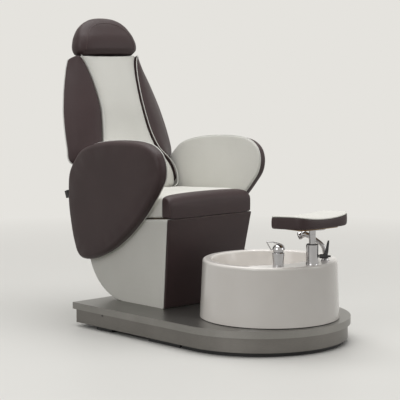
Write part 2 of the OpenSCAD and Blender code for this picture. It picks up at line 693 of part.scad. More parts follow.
function up(v) = v * back_l / 745;
pad_keys = [[up(55), 175], [up(75), 226], [up(105), 250], [up(140), 256], [up(175), 248], [up(215), 218],
    [up(255), 178], [up(300), 157], [up(380), 138], [up(487), 126], [up(600), 133], [up(680), 148],
    [up(722), 164], [up(745), 180]];
edge_keys = [[0, 256], [up(190), 258], [up(230), 274], [up(254), 312], [up(275), 323], [up(305), 322],
    [up(379), 316], [up(463), 304], [up(516), 292], [up(620), 261], [up(724), 218], [up(745), 200]];
face_keys = [[0, -92], [up(140), -97], [up(350), -99], [up(487), -108], [up(745), -98]];
rim_keys = [[0, -30], [up(245), -14], [up(300), -22], [up(463), -28], [up(620), -36], [up(745), -42]];
spine_keys = [[0, 50], [up(200), 52], [up(450), 38], [up(745), spine_top]];
foam_t = 40;

// Depth of the upholstered front at a, from the centre pad's surface back to the rim
function wing(a, v) =
    let (p = curve(pad_keys, v), o = curve(edge_keys, v), t = max(0, min(1, (abs(a) - p) / max(o - p, 1))))
    curve(face_keys, v) + (curve(rim_keys, v) - curve(face_keys, v)) * pow(t, 1.2);
function foam_back(a, v) =
    let (o = curve(edge_keys, v), t = min(1, abs(a) / o))
    curve(face_keys, v) + foam_t + (curve(rim_keys, v) + 10 - curve(face_keys, v) - foam_t) * pow(t, 3);

back_vs = [for (v = [60, 120, 180, 205, 225, 245, 265, 305, 345, 385, 425, 465, 505, 545, 585, 620, 655,
    690, 715, 730]) up(v)];
function back_stations(v0, v1, r) = concat([for (q = [0, 0.07, 0.3, 0.65]) v0 + r * q],
    [for (v = back_vs) if (v > v0 + r + 3 && v < v1 - r - 3) v],
    [for (q = [0.65, 0.3, 0.07, 0]) v1 - r * q]);
pad_low = up(58);
pad_top = up(741);
bolster_top = up(741);
module back_pad() color(leather_white)
    padded(back_stations(pad_low, pad_top, 12), 12,
        function(v) -curve(pad_keys, v) + 1, function(v) curve(pad_keys, v) - 1,
        function(a, v) curve(face_keys, v) - 9 * (1 - pow(a / curve(pad_keys, v), 2)),
        function(a, v) foam_back(a, v) - 3 * soft_gap,
        function(a, v, w) bowed_at(a, v, w), 14, 5.6);

bolster_low = up(196);
module bolster(s)
    padded(back_stations(bolster_low, bolster_top, 12), 12,
        function(v) s > 0 ? curve(pad_keys, v) + soft_gap : -curve(edge_keys, v) + 3,
        function(v) s > 0 ? curve(edge_keys, v) - 3 : -curve(pad_keys, v) - soft_gap,
        function(a, v) wing(a, v) - 7 * min(1, max(0.15, (v - 235) / 150)) * sin(180 * max(0, min(1, (abs(a) - curve(pad_keys, v))
            / max(1, curve(edge_keys, v) - curve(pad_keys, v))))),
        function(a, v) foam_back(a, v) - 3 * soft_gap,
        function(a, v, w) bowed_at(a, v, w), 10, 5);
module bolster_right() color(leather_brown) bolster(-1);
module bolster_left() color(leather_brown) bolster(1);

back_board_t = 7;
board_top = up(735);
module back_board() color(black)
    skin([for (v = concat([up(62)], [for (v = back_vs) if (v > up(70)) v], [board_top]))
        let (o = shell_edge(v) - 8)
        concat([for (i = [0:14]) let (a = -o * cos(12 * i + 6)) bowed_at(a, v, foam_back(a, v) + back_board_t)],
            [for (i = [14:-1:0]) let (a = -o * cos(12 * i + 6)) bowed_at(a, v, foam_back(a, v))])]);

// Rear shell: a shallow tray whose lip closes round the edge of the board, with a cap along its top.
// The bolsters stand out beyond it on both sides.
shell_t = 8;
shell_low = 8;
function shell_edge(v) = curve(edge_keys, v) - 22;
function rear_w(a, v, g) =
    let (o = shell_edge(v) - g, e = foam_back(o, v) + 13 - g * 0.3)
    e + (curve(spine_keys, v) - g - e) * sqrt(max(0, 1 - pow(a / o, 4)));
module shell_body(v0, v1, g, front_off)
    skin([for (v = concat([v0], back_vs, [v1]))
        let (o = shell_edge(v) - g)
        concat(
            [for (i = [0:14]) let (a = o * sin(-90 + 180 * i / 14)) bowed_at(a, v, rear_w(a, v, g))],
            [for (i = [14:-1:0]) let (a = o * sin(-90 + 180 * i / 14))
                bowed_at(a, v, foam_back(a, v) + soft_gap + front_off)])]);
module back_shell() color(gloss_white) difference() {
    shell_body(shell_low, up(745), 0, 0);
    shell_body(shell_low - 4, board_top + 1, shell_t - 0.4, -60);
    in_back() for (s = [-1, 1]) translate([s * post_x, post_w, up(700)]) cylinder(h = 80, r = guide_r + joint_gap);
}

// ---------- recline shaft and back frame ----------

ear_x = 165;
ear_r = 26;
bush_r = 13;
bush_lip = 1.5;
module recline_shaft() color(steel) translate([-plate_x - steel_t / 2 - 6, pivot[0], pivot[1]])
    rotate([0, 90, 0]) cylinder(h = 2 * plate_x + steel_t + 12, r = shaft_d / 2);

module hinge_bushes() color(black)
    for (s = [-1, 1]) translate([s * ear_x - steel_t / 2 - bush_lip, pivot[0], pivot[1]])
        rotate([0, 90, 0]) difference() {
            union() {
                cylinder(h = steel_t + 2 * bush_lip, r = bush_r);
                cylinder(h = bush_lip, r = bush_r + 4);
            }
            translate([0, 0, -1]) cylinder(h = steel_t + 10, r = shaft_d / 2 + joint_gap);
        }

crank_half = recline_travel / 2;
crank_dir = crank_half + back_tilt - 90;
upright_x = 62;
upright_w = 22;
frame_v = 78;
frame_w = -12;
frame_top = up(650);
crank_pin_r = 5;
spring_x = -ear_x + 20;
module ear_outline(crank) {
    difference() {
        union() {
            circle(ear_r);
            translate([frame_w, frame_v]) circle(20);
            polygon([[-26, 0], [26, 0], [frame_w + 20, frame_v], [frame_w - 20, frame_v]]);
            if (crank) rotate(crank_dir) {
                translate([0, -12]) square([crank_r, 24]);
                translate([crank_r, 0]) circle(12);
            }
        }
        circle(bush_r + joint_gap);
    }
}
module back_frame() color(steel) {
    in_back() {
        for (s = [-1, 1]) translate([s * ear_x - steel_t / 2, 0, 0]) rotate([90, 0, 90])
            linear_extrude(steel_t) ear_outline(s < 0);
        translate([-ear_x, frame_w, frame_v]) rotate([0, 90, 0]) cylinder(h = 2 * ear_x, r = 14);
        for (s = [-1, 1]) translate([s * upright_x - upright_w / 2, frame_w - upright_w / 2, frame_v])
            cube([upright_w, upright_w, frame_top - frame_v]);
        for (v = [up(250), up(390), up(530), frame_top - upright_w])
            translate([-upright_x, frame_w - upright_w / 2, v]) cube([2 * upright_x, upright_w, upright_w]);
        translate([-ear_x, crank_r * cos(crank_dir), crank_r * sin(crank_dir)]) rotate([0, 90, 0])
            cylinder(h = spring_x + ear_x + 8, r = crank_pin_r);
    }
}

roll_r = 50;
roll_t = 4;
roll_half = 214;
roll_end = -35;
module roll_arc(r0, r1) intersection() {
    difference() {
        circle(r1, $fn = 96);
        circle(r0, $fn = 96);
    }
    polygon([[0, 0], [90, 90 * tan(9.2)], [90, -20], 110 * [cos(roll_end), sin(roll_end)]]);
}
module back_roll() color(gloss_white) in_back() {
    translate([-roll_half, 0, 0]) rotate([90, 0, 90]) linear_extrude(2 * roll_half)
        roll_arc(roll_r - roll_t, roll_r);
    for (s = [-1, 1]) translate([s * (ear_x - steel_t / 2 - 3) - 3, 0, 0]) rotate([90, 0, 90])
        linear_extrude(6) roll_arc(bush_r + 6, roll_r - roll_t + 1);
}

// ---------- gas spring ----------

cyl_r = 11;
rod_r = 5;
eye_r = 11;
eye_slack = 2.3;
crank_y0 = crank_r * sin(crank_half);
crank_z0 = crank_r * cos(crank_half);
spring_z = pivot[1] - crank_z0 - crank_r * (1 - cos(crank_half)) / 2;
eye_y = pivot[0] + crank_y0;
cyl_front = tie_at[2][0];
cyl_len = 200;
module gas_cylinder() color(black) translate([spring_x, 0, spring_z]) difference() {
    union() {
        translate([0, cyl_front + 30, 0]) rotate([-90, 0, 0]) cylinder(h = cyl_len, r = cyl_r);
        translate([-6, cyl_front + 10, -8]) cube([12, 22, 16]);
        translate([-6, cyl_front, tie_at[2][1] - spring_z]) rotate([0, 90, 0]) cylinder(h = 12, r = tie_r + 6);
        translate([-6, cyl_front, tie_at[2][1] - spring_z - 4]) cube([12, 24, 12]);
    }
    translate([0, cyl_front + 60, 0]) rotate([-90, 0, 0]) cylinder(h = cyl_len, r = rod_r + joint_gap);
    translate([0, cyl_front + 70, 0]) rotate([-90, 0, 0]) cylinder(h = cyl_len - 50, r = cyl_r - 2);
    translate([-7, cyl_front, tie_at[2][1] - spring_z]) rotate([0, 90, 0])
        cylinder(h = 14, r = tie_r + pin_fit);
}
module gas_rod() color(chrome) translate([spring_x, 0, spring_z]) difference() {
    union() {
        translate([0, cyl_front + 150, 0]) rotate([-90, 0, 0])
            cylinder(h = eye_y - eye_r - cyl_front - 149, r = rod_r);
        translate([0, cyl_front + 142, 0]) rotate([-90, 0, 0]) cylinder(h = 9, r = cyl_r - 2 - joint_gap);
        translate([-5, eye_y, 0]) rotate([0, 90, 0]) cylinder(h = 10, r = eye_r);
    }
    translate([-6, eye_y, 0]) rotate([0, 90, 0]) cylinder(h = 12, r = crank_pin_r + eye_slack);
}

// ---------- release lever ----------

lever_v = 118;
lever_w = 48;
lever_a = -200;
lever_pin_r = 3;
lever_barrel_r = 8;
lever_half = 17;
module lever_bracket() color(steel) in_back() translate([lever_a, 0, lever_v]) {
    translate([-lever_half - 4, lever_w, 0]) rotate([0, 90, 0]) cylinder(h = 2 * lever_half + 8, r = lever_pin_r);
    for (s = [-1, 1]) translate([s * (lever_half + 3) - 2, lever_w - (s < 0 ? 22 : 6.5), -7])
        cube([4, s < 0 ? 28 : 13, 14]);
}
module release_lever() color(black) in_back() translate([lever_a, 0, lever_v]) difference() {
    union() {
        translate([-lever_half, lever_w, 0]) rotate([0, 90, 0]) cylinder(h = 2 * lever_half, r = lever_barrel_r);
        translate([-lever_half, lever_w, -6]) cube([lever_half, 44, 12]);
        translate([-90, lever_w + 40, -17]) cube([90, 20, 34]);
    }
    translate([-lever_half - 1, lever_w, 0]) rotate([0, 90, 0])
        cylinder(h = 2 * lever_half + 2, r = lever_pin_r + joint_gap);
}

// ---------- headrest ----------

post_x = 62;
post_r = 6;
post_w = -37;
guide_r = 9;
head_base = up(731) + 6;
module post_guides() color(black) in_back()
    for (s = [-1, 1]) translate([s * post_x, post_w, up(745) - 118]) difference() {
        cylinder(h = 120, r = guide_r);
        translate([0, 0, -1]) cylinder(h = 122, r = post_r + joint_gap);
    }
module headrest_posts() color(chrome) in_back() {
    for (s = [-1, 1]) translate([s * post_x, post_w, up(745) - 100]) cylinder(h = 145, r = post_r);
    translate([-post_x - 20, post_w - 4, head_base + 40]) cube([2 * post_x + 40, 8, 36]);
}
head_keys = [[0, 166], [0.05, 179], [0.1, 186], [0.2, 192], [0.3, 190], [0.4, 184], [0.5, 176], [0.63, 160],
    [0.76, 137], [0.87, 107], [0.95, 74], [0.99, 44], [1, 26]];
head_half_t = [[0, 46], [0.1, 57], [0.25, 61], [0.42, 59], [0.6, 49], [0.76, 39], [0.88, 29], [0.95, 20], [1, 8]];
head_w = -80;
module headrest_pillow() color(leather_brown) difference() {
    skin([for (t = [0, 0.03, 0.08, 0.15, 0.25, 0.36, 0.48, 0.58, 0.67, 0.75, 0.82, 0.88, 0.93, 0.97, 1])
        [for (c = section(13, 3.2))
            let (end = t < 0.1 ? 6 - 60 * t : 0)
            back_at((curve(head_keys, t) - end) * c[0], head_base + t * head_h,
                head_w - (curve(head_half_t, t) - end) * c[1])]]);
    in_back() {
        for (s = [-1, 1]) translate([s * post_x, post_w, head_base - 5])
            cylinder(h = 72, r = guide_r + 1);
        translate([-post_x - 20 - soft_gap, post_w - 4 - soft_gap, head_base + 40 - soft_gap])
            cube([2 * post_x + 40 + 2 * soft_gap, 8 + 2 * soft_gap, 36 + 2 * soft_gap]);
    }
}

// ---------- armrests ----------

arm_y = nose_y + 764.5;
// Outline of an armrest in its own plane, as [y, z], going up its rear edge last
arm_keys = [[505, 757], [549, 690], [571, 612], [577, 520], [571, 405], [552, 326], [519, 288], [463, 283],
    [388, 304], [282, 352], [167, 428], [70, 511], [-4, 590], [-52, 648], [-77, 684], [-88, 722],
    [-86, 762], [-68, 802], [-30, 832], [20, 848], [96, 855], [200, 853], [300, 844], [388, 828],
    [458, 803]];
arm_round = 17.5;
arm_ref = [313, 600];

arm_n = len(arm_keys);
function arm_key(k) = arm_keys[(k + arm_n) % arm_n];
function arm_point(i) =
    let (k = floor(i / 2))
    i % 2 == 0 ? arm_key(k) : (9 * arm_key(k) + 9 * arm_key(k + 1) - arm_key(k - 1) - arm_key(k + 2)) / 16;
// The same outline drawn in by g
function arm_outline(g) = [for (i = [0:2 * arm_n - 1])
    let (t = arm_point(i + 1) - arm_point(i + 2 * arm_n - 1), n = [-t[1], t[0]] / norm(t))
    arm_point(i) - g * n];
// Padded form of an armrest, from depth d0 behind its outer face, t thick, drawn in by g,
// with one round on its outer edge and another on its inner edge
module arm_form(d0, t, outer, inner, g)
    translate([-arm_ref[0], arm_y, arm_ref[1]]) rotate([0, -side_lean, 0]) translate([d0, 0, -arm_ref[1]])
        skin(concat(
            [for (q = [0, 25, 50, 70, 90])
                [for (p = arm_outline(g + outer * (1 - sin(q)))) [outer * (1 - cos(q)), p[0], p[1]]]],
            [for (q = [90, 50, 0])
                [for (p = arm_outline(g + inner * (1 - sin(q)))) [t - inner * (1 - cos(q)), p[0], p[1]]]]));
module armrest_right() color(leather_brown) arm_form(0, arm_t - arm_pad_t - soft_gap, arm_round, 4, 0);
module armrest_pad_right() color(leather_white) arm_form(arm_t - arm_pad_t, arm_pad_t, 1, arm_pad_t / 2, 5);
module armrest_left() color(leather_brown) mirror([1, 0, 0])
    arm_form(0, arm_t - arm_pad_t - soft_gap, arm_round, 4, 0);
module armrest_pad_left() color(leather_white) mirror([1, 0, 0])
    arm_form(arm_t - arm_pad_t, arm_pad_t, 1, arm_pad_t / 2, 5);

bolt_at = [[arm_y + 300, 410], [arm_y + 380, 410], [arm_y + 340, 350]];
module armrest_bolts() color(steel)
    for (s = [-1, 1], b = bolt_at)
        translate([s * (side_half(b[1]) - carcass_t), b[0], b[1]])
            rotate([0, s * (90 + side_lean), 0]) {
                translate([0, 0, -6]) cylinder(h = 5.5, r = 8);
                translate([0, 0, carcass_t + 0.2]) cylinder(h = 1.8, r = 20);
            }

platform_plate();
platform_skirt();
chassis_rails();
cross_members();
plinth_nose();
plinth_sides();
rear_feet();
tub();
tub_seal();
drain_flange();
drain_plug();
drain_tail();
mixer_body();
mixer_nut();
mixer_cartridge();
mixer_lever();
shower_holder();
hand_shower();
spray_face();
foot_socket();
socket_nut();
guide_collar();
height_tube();
swivel_hub();
pad_board();
footrest_band();
footrest_top();
clamp_stud();
clamp_lever();
pedestal_shell();
front_panel();
side_plate_right();
side_plate_left();
tie_tubes();
seat_board();
seat_cushion();
seat_front();
recline_shaft();
hinge_bushes();
back_frame();
back_roll();
back_shell();
back_board();
back_pad();
bolster_right();
bolster_left();
lever_bracket();
release_lever();
post_guides();
headrest_posts();
headrest_pillow();
gas_cylinder();
gas_rod();
armrest_right();
armrest_pad_right();
armrest_left();
armrest_pad_left();
armrest_bolts();
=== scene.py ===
import math

import bmesh
import bpy
import numpy as np
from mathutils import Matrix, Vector
from mathutils.bvhtree import BVHTree
from mathutils.kdtree import KDTree


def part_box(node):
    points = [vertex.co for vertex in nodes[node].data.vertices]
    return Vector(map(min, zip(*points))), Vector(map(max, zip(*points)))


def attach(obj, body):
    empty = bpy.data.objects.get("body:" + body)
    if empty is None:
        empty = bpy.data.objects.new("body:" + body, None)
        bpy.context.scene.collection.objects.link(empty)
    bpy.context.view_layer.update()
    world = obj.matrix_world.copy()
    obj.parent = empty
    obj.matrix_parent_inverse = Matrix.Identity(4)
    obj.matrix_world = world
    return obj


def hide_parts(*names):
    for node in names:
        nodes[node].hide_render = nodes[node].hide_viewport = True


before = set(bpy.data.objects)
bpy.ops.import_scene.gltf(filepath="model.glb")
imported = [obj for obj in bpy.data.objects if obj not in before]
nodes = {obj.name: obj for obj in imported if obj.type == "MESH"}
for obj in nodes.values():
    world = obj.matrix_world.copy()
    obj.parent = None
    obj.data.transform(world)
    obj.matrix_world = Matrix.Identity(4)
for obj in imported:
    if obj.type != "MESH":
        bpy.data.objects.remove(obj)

scene = bpy.context.scene
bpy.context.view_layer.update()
MM = 0.001

# ---- the view and the studio ----
# A long lens at eye height looks at the chair from its front right corner, as a showroom picture does.
# One wide softbox hangs overhead, two weaker ones stand in front, and floor and backdrop are pale and plain.
camera = bpy.data.objects.new("camera", bpy.data.cameras.new("camera"))
scene.collection.objects.link(camera)
camera.location = (-4.2985, -4.5665, 1.229)
camera.rotation_mode = "QUATERNION"
camera.rotation_quaternion = Vector((0.681, 0.725, -0.103)).to_track_quat("-Z", "Y")
camera.data.sensor_width = 36
camera.data.lens = 126.34
camera.data.clip_end = 60
scene.camera = camera
scene.view_settings.view_transform = "Standard"


def softbox(name, place, aim, size, watts):
    lamp = bpy.data.lights.new(name, "AREA")
    lamp.shape = "RECTANGLE"
    lamp.size, lamp.size_y = size
    lamp.energy = watts
    box = bpy.data.objects.new(name, lamp)
    scene.collection.objects.link(box)
    box.location = place
    box.rotation_mode = "QUATERNION"
    box.rotation_quaternion = (Vector(aim) - Vector(place)).to_track_quat("-Z", "Y")


softbox("overhead_softbox", (0.2, 0.2, 6.0), (0, -0.1, 0), (5.4, 5.4), 325)
softbox("left_softbox", (-4.6, -1.4, 2.4), (0, -0.1, 0.6), (2.6, 2.6), 62)
softbox("right_softbox", (2.6, -3.4, 1.8), (0, -0.3, 0.5), (1.6, 2.2), 24)


class Value:
    """A socket inside a finish. Arithmetic on it adds Math nodes."""

    def __init__(self, finish, socket):
        self.finish, self.socket = finish, socket

    def math(self, operation, *values):
        return self.finish.node("ShaderNodeMath", {"operation": operation}, dict(enumerate(values)))

    def __add__(self, other): return self.math("ADD", self, other)
    def __radd__(self, other): return self.math("ADD", other, self)
    def __sub__(self, other): return self.math("SUBTRACT", self, other)
    def __rsub__(self, other): return self.math("SUBTRACT", other, self)
    def __mul__(self, other): return self.math("MULTIPLY", self, other)
    def __rmul__(self, other): return self.math("MULTIPLY", other, self)
    def __truediv__(self, other): return self.math("DIVIDE", self, other)
    def __pow__(self, other): return self.math("POWER", self, other)
    def __gt__(self, other): return self.math("GREATER_THAN", self, other)
    def __lt__(self, other): return self.math("LESS_THAN", self, other)

    def clamped(self, low, high):
        """The value mapped from low..high to 0..1 and held there."""
        return self.finish.node("ShaderNodeMapRange", {"clamp": True},
                                {"Value": self, "From Min": low, "From Max": high}, "Result")


def linear(shade):
    """A colour written as a red, green, blue triple of 0 to 255, as the shader wants it."""
    return tuple(((c / 255 + 0.055) / 1.055) ** 2.4 if c > 10 else c / 3294.6 for c in shade) + (1,)


class Sockets:
    """A node tree, built up node by node and ending in one surface."""

    def __init__(self, owner, output):
        owner.use_nodes = True
        self.tree = owner.node_tree
        self.tree.nodes.clear()
        self.output = self.tree.nodes.new(output)

    def plug(self, socket, value):
        if isinstance(value, Value):
            self.tree.links.new(value.socket, socket)
        else:
            socket.default_value = value

    def node(self, kind, settings=None, inputs=None, output=0):
        made = self.tree.nodes.new(kind)
        for setting, value in (settings or {}).items():
            if setting == "stops":
                ramp = made.color_ramp.elements
                while len(ramp) < len(value):
                    ramp.new(0.5)
                for stop, (place, colour) in zip(ramp, value):
                    stop.position, stop.color = place, colour
            else:
                setattr(made, setting, value)
        for socket, value in (inputs or {}).items():
            self.plug(made.inputs[socket], value)
        return Value(self, made.outputs[output])

    def seen(self):
        """1 for what the camera sees straight, in a gloss or through glass, and 0 for the rest."""
        straight, gloss, glass = (self.node("ShaderNodeLightPath", output="Is %s Ray" % kind)
                                  for kind in ("Camera", "Glossy", "Transmission"))
        return straight + gloss + glass

    def end_with(self, share, first, second):
        """A surface that goes from the first shader to the second."""
        both = self.node("ShaderNodeMixShader", {}, {0: share, 1: first, 2: second})
        self.plug(self.output.inputs["Surface"], both)


class Finish(Sockets):
    """A material with one Principled shader."""

    def __init__(self, name, **constants):
        self.material = bpy.data.materials.new(name)
        super().__init__(self.material, "ShaderNodeOutputMaterial")
        self.shader = self.tree.nodes.new("ShaderNodeBsdfPrincipled")
        self.tree.links.new(self.shader.outputs[0], self.output.inputs["Surface"])
        for socket, value in constants.items():
            self.feed(socket.replace("_", " "), value)
        self.material.diffuse_color = self.shader.inputs["Base Color"].default_value

    def feed(self, socket, value):
        self.plug(self.shader.inputs[socket], value)

    def place(self):
        """Where a point lies on the piece, in metres."""
        return self.node("ShaderNodeTexCoord", output="Object")

    def noise(self, scale, detail=3, where=None, rough=0.5):
        return self.node("ShaderNodeTexNoise", {}, {"Vector": where or self.place(), "Scale": scale,
                                                    "Detail": detail, "Roughness": rough}, "Fac")

    def stretched(self, scale):
        """Object coordinates scaled differently along each axis, for brushed or drawn surfaces."""
        return self.node("ShaderNodeVectorMath", {"operation": "MULTIPLY"}, {0: self.place(), 1: scale})

    def mix(self, share, first, second):
        """Colour that goes from first to second as share goes from 0 to 1."""
        return self.node("ShaderNodeMix", {"data_type": "RGBA", "clamp_factor": True},
                         {0: share, 6: first, 7: second}, 2)

    def bump(self, height, depth):
        """Normal for a height map of 0 to 1 that stands depth metres high."""
        self.feed("Normal", self.node("ShaderNodeBump", {}, {"Strength": 1.0, "Distance": depth,
                                                             "Height": height}, "Normal"))


def dress(finish, *names):
    """Puts a finish on CAD nodes."""
    for name in names:
        for place in nodes[name].material_slots:
            place.material = finish.material


backdrop_shade = linear((229, 227, 222))
floor_mesh = bpy.data.meshes.new("studio_floor")
floor_mesh.from_pydata([(-30, -30, 0), (30, -30, 0), (30, 30, 0), (-30, 30, 0)], [], [(0, 1, 2, 3)])
floor = bpy.data.objects.new("studio_floor", floor_mesh)
scene.collection.objects.link(floor)
pale_floor = Finish("pale_floor", Roughness=0.55)
bounced, looked_at = linear((128, 127, 124)), linear((212, 211, 207))
pale_floor.feed("Base Color", pale_floor.mix(pale_floor.seen(), bounced, looked_at))
pale_floor.feed("Roughness", 0.5 + pale_floor.noise(1.5) * 0.1)
distance = pale_floor.node("ShaderNodeVectorMath", {"operation": "LENGTH"}, {0: pale_floor.place()}, "Value")
lit_floor = Value(pale_floor, pale_floor.shader.outputs[0])
pale_floor.end_with(distance.clamped(1.3, 4.5) * pale_floor.seen(), lit_floor,
                    pale_floor.node("ShaderNodeEmission", {}, {"Color": backdrop_shade}))
floor_mesh.materials.append(pale_floor.material)

scene.world = bpy.data.worlds.new("studio")
sky = Sockets(scene.world, "ShaderNodeOutputWorld")
room_light = {"Color": (1, 0.985, 0.96, 1), "Strength": 0.24}
sky.end_with(sky.seen(), sky.node("ShaderNodeBackground", {}, room_light),
             sky.node("ShaderNodeBackground", {}, {"Color": backdrop_shade, "Strength": 1.0}))

# ---- the platform ----
# A folded stainless top plate with a round nose lies over a skirt band of the same sheet.
# Both are brushed lengthways, and a dark screw on either side holds the skirt to the chassis.


def brushed(name, shade, grain, rough=0.34):
    """Brushed sheet metal whose grain is drawn out along one axis."""
    sheet = Finish(name, Metallic=1.0)
    streaks = sheet.noise(1.0, 6, sheet.stretched(grain), 0.65)
    smears = sheet.noise(5.0, 4)
    light, dark = linear(shade), linear([c * 0.80 for c in shade])
    sheet.feed("Base Color", sheet.mix((streaks * 0.6 + smears * 0.5).clamped(0.3, 0.8), dark, light))
    sheet.feed("Roughness", (rough - 0.08) + streaks * 0.16 + smears * 0.06)
    sheet.bump(streaks, 0.00006)
    return sheet


plate_steel = brushed("brushed_plate", (150, 148, 144), (900, 7, 900))
band_steel = brushed("brushed_band", (130, 127, 123), (60, 60, 1500), 0.36)
dress(plate_steel, "platform_plate")
dress(band_steel, "platform_skirt")
dress(brushed("mill_steel", (120, 120, 118), (40, 40, 40), 0.45), "chassis_rails", "cross_members",
      "side_plate_right", "side_plate_left", "tie_tubes", "back_frame", "lever_bracket")
bright_steel = brushed("turned_steel", (150, 150, 150), (15, 15, 900), 0.28)
dress(bright_steel, "mixer_nut", "socket_nut", "recline_shaft", "armrest_bolts", "clamp_stud")


def black_moulding(name, shade, rough, grain=700):
    """Moulded black plastic with a fine spark-eroded grain."""
    moulding = Finish(name, Base_Color=linear(shade))
    spots = moulding.noise(grain, 2)
    moulding.feed("Base Color", moulding.mix(moulding.noise(14, 3), linear(shade),
                                             linear([c * 1.35 for c in shade])))
    moulding.feed("Roughness", rough + spots * 0.14)
    moulding.bump(spots, 0.00008)
    return moulding


plinth_black = black_moulding("plinth_black", (26, 26, 27), 0.5, 300)
satin_black = black_moulding("satin_black", (24, 24, 26), 0.36)
dress(plinth_black, "plinth_nose", "plinth_sides", "rear_feet", "back_board", "drain_tail")
dress(satin_black, "guide_collar", "hinge_bushes", "post_guides", "gas_cylinder")


def piece(name, vertices, faces, finish, slot, body):
    """A mesh piece from points in millimetres, riding on a body."""
    mesh = bpy.data.meshes.new(name)
    mesh.from_pydata([tuple(c * MM for c in v) for v in vertices], [], faces)
    mesh.materials.append(finish.material)
    mesh.polygons.foreach_set("use_smooth", [True] * len(mesh.polygons))
    mesh.validate()
    form = bmesh.new()
    form.from_mesh(mesh)
    bmesh.ops.recalc_face_normals(form, faces=form.faces)
    form.to_mesh(mesh)
    form.free()
    mesh.update()
    made = bpy.data.objects.new(name, mesh)
    scene.collection.objects.link(made)
    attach(made, body)
    return made


def loft(rings, closed=False):
    """Vertices and faces of a skin over rings of equal length."""
    count, total = len(rings[0]), len(rings)
    rows = range(total if closed else total - 1)
    faces = [(i * count + j, i * count + (j + 1) % count,
              (i + 1) % total * count + (j + 1) % count, (i + 1) % total * count + j)
             for i in rows for j in range(count)]
    if not closed:
        faces += [tuple(range(count))[::-1], tuple(range((total - 1) * count, total * count))]
    return [p for ring in rings for p in ring], faces


def turned(profile, sides=48):
    """Vertices and faces of a part turned on a lathe from a closed profile of (radius, height)."""
    return loft([[(r * math.cos(t), r * math.sin(t), z) for r, z in profile]
                 for t in (2 * math.pi * k / sides for k in range(sides))], closed=True)


def moved(shape, place, turn):
    """The same shape turned and carried to a place."""
    return [tuple(turn(Vector(v)) + Vector(place)) for v in shape[0]], shape[1]


def joined(*shapes):
    vertices, faces = [], []
    for shape in shapes:
        start = len(vertices)
        vertices += shape[0]
        faces += [tuple(i + start for i in f) for f in shape[1]]
    return vertices, faces


def facing(direction):
    """A turn that lays the lathe axis along a direction."""
    turn = Vector(direction).to_track_quat("Z", "Y")
    return lambda p: turn @ p


skirt_high = Vector(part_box("platform_skirt")[1]) / MM
screw_y, screw_z = 227, 72
screw = turned([(0.01, 0.2), (1.6, 0.2), (1.9, 0.9), (4.6, 1.0), (5.2, 0.5), (5.4, -1.0), (0.01, -1.0)], 24)
screws = [moved(screw, (side * skirt_high.x, screw_y, screw_z), facing((side, 0, 0))) for side in (-1, 1)]
piece("edge_screws", *joined(*screws), black_moulding("screw_black", (52, 50, 48), 0.35), "steel", "base")

# ---- the foot tub ----
# A one-piece tub in gloss white gelcoat, laid up in a mould, with a flat deck in front of the bowl.
# It stands on a thin black seal whose near-black also paints the shadow line under its foot, and a trace of
# haze in the gloss keeps it from looking new.
gelcoat = Finish("white_gelcoat", Coat_Roughness=0.06)
haze = gelcoat.noise(7, 5)
gelcoat.feed("Base Color", gelcoat.mix(haze.clamped(0.2, 0.9), linear((227, 223, 218)),
                                       linear((220, 215, 209))))
gelcoat.feed("Roughness", 0.17 + haze * 0.06)
gelcoat.feed("Coat Weight", 0.35)
gelcoat.bump(gelcoat.noise(9, 2), 0.00006)
dress(gelcoat, "tub")
# The rubber seal is near-black partly as painted shadow: it stands for the dark line of shade under the tub.
dress(black_moulding("seal_rubber", (22, 22, 22), 0.6), "tub_seal")

# ---- drain, mixer, shower holder, socket and the other plated parts ----
# Polished chrome plate over brass: nearly mirror bright, with faint wipe marks and a trace of haze.
chrome = Finish("chrome_plate", Metallic=1.0)
wipes = chrome.noise(30, 4)
chrome.feed("Base Color", chrome.mix(wipes, linear((188, 187, 188)), linear((170, 169, 171))))
chrome.feed("Roughness", 0.06 + wipes * 0.09)
chrome.bump(chrome.noise(240, 2), 0.00002)
dress(chrome, "drain_flange", "drain_plug", "mixer_body", "mixer_cartridge", "mixer_lever", "shower_holder",
      "hand_shower", "foot_socket", "height_tube", "swivel_hub", "headrest_posts", "gas_rod")
dress(satin_black, "spray_face", "clamp_lever", "release_lever")

# ---- boards ----
# Birch plywood under the seat and the footrest pad, sanded and left raw.
plywood = Finish("birch_plywood")
rings = plywood.noise(3, 6, plywood.stretched((6, 60, 260)), 0.6)
plywood.feed("Base Color", plywood.mix(rings.clamped(0.3, 0.7), linear((196, 160, 112)),
                                       linear((166, 128, 84))))
plywood.feed("Roughness", 0.55 + rings * 0.2)
plywood.bump(rings, 0.0002)
dress(plywood, "pad_board", "seat_board")

# ---- leathers ----
# Salon-grade upholstery vinyl with a fine pebble grain: a dark brown and an off-white.
# The grain is rubbed a little smoother where hands and legs pass over it.


def leather(name, shade, deep, rough, grain=430):
    hide = Finish(name, Sheen_Weight=0.02, Sheen_Roughness=0.4, Specular_IOR_Level=0.34)
    pebbles = hide.node("ShaderNodeTexVoronoi", {"feature": "DISTANCE_TO_EDGE"},
                        {"Vector": hide.place(), "Scale": grain}, "Distance")
    pits = pebbles.clamped(0.0, 0.22)
    drift = hide.noise(6, 4)
    rub = hide.noise(2.2, 2)
    # The base colour is mottled at random and painted darker in the grain's pits, as the shade that falls in
    # them.
    mottle_and_pit_shade = (drift * 0.7 + (1 - pits) * 0.35).clamped(0.2, 0.95)
    hide.feed("Base Color", hide.mix(mottle_and_pit_shade, linear(shade), linear(deep)))
    hide.feed("Roughness", rough - 0.06 + drift * 0.08 + (1 - pits) * 0.08 + rub * 0.05)
    hide.bump(pits * 0.55 + hide.noise(38, 4) * 0.5, 0.00016)
    return hide


brown_hide = leather("brown_leather", (61, 45, 46), (49, 36, 37), 0.42)
white_hide = leather("white_leather", (222, 221, 215), (209, 208, 201), 0.42)
welt_white = leather("welt_white", (222, 222, 217), (208, 208, 202), 0.4, 700)
welt_brown = leather("welt_brown", (84, 68, 67), (64, 51, 51), 0.42, 700)

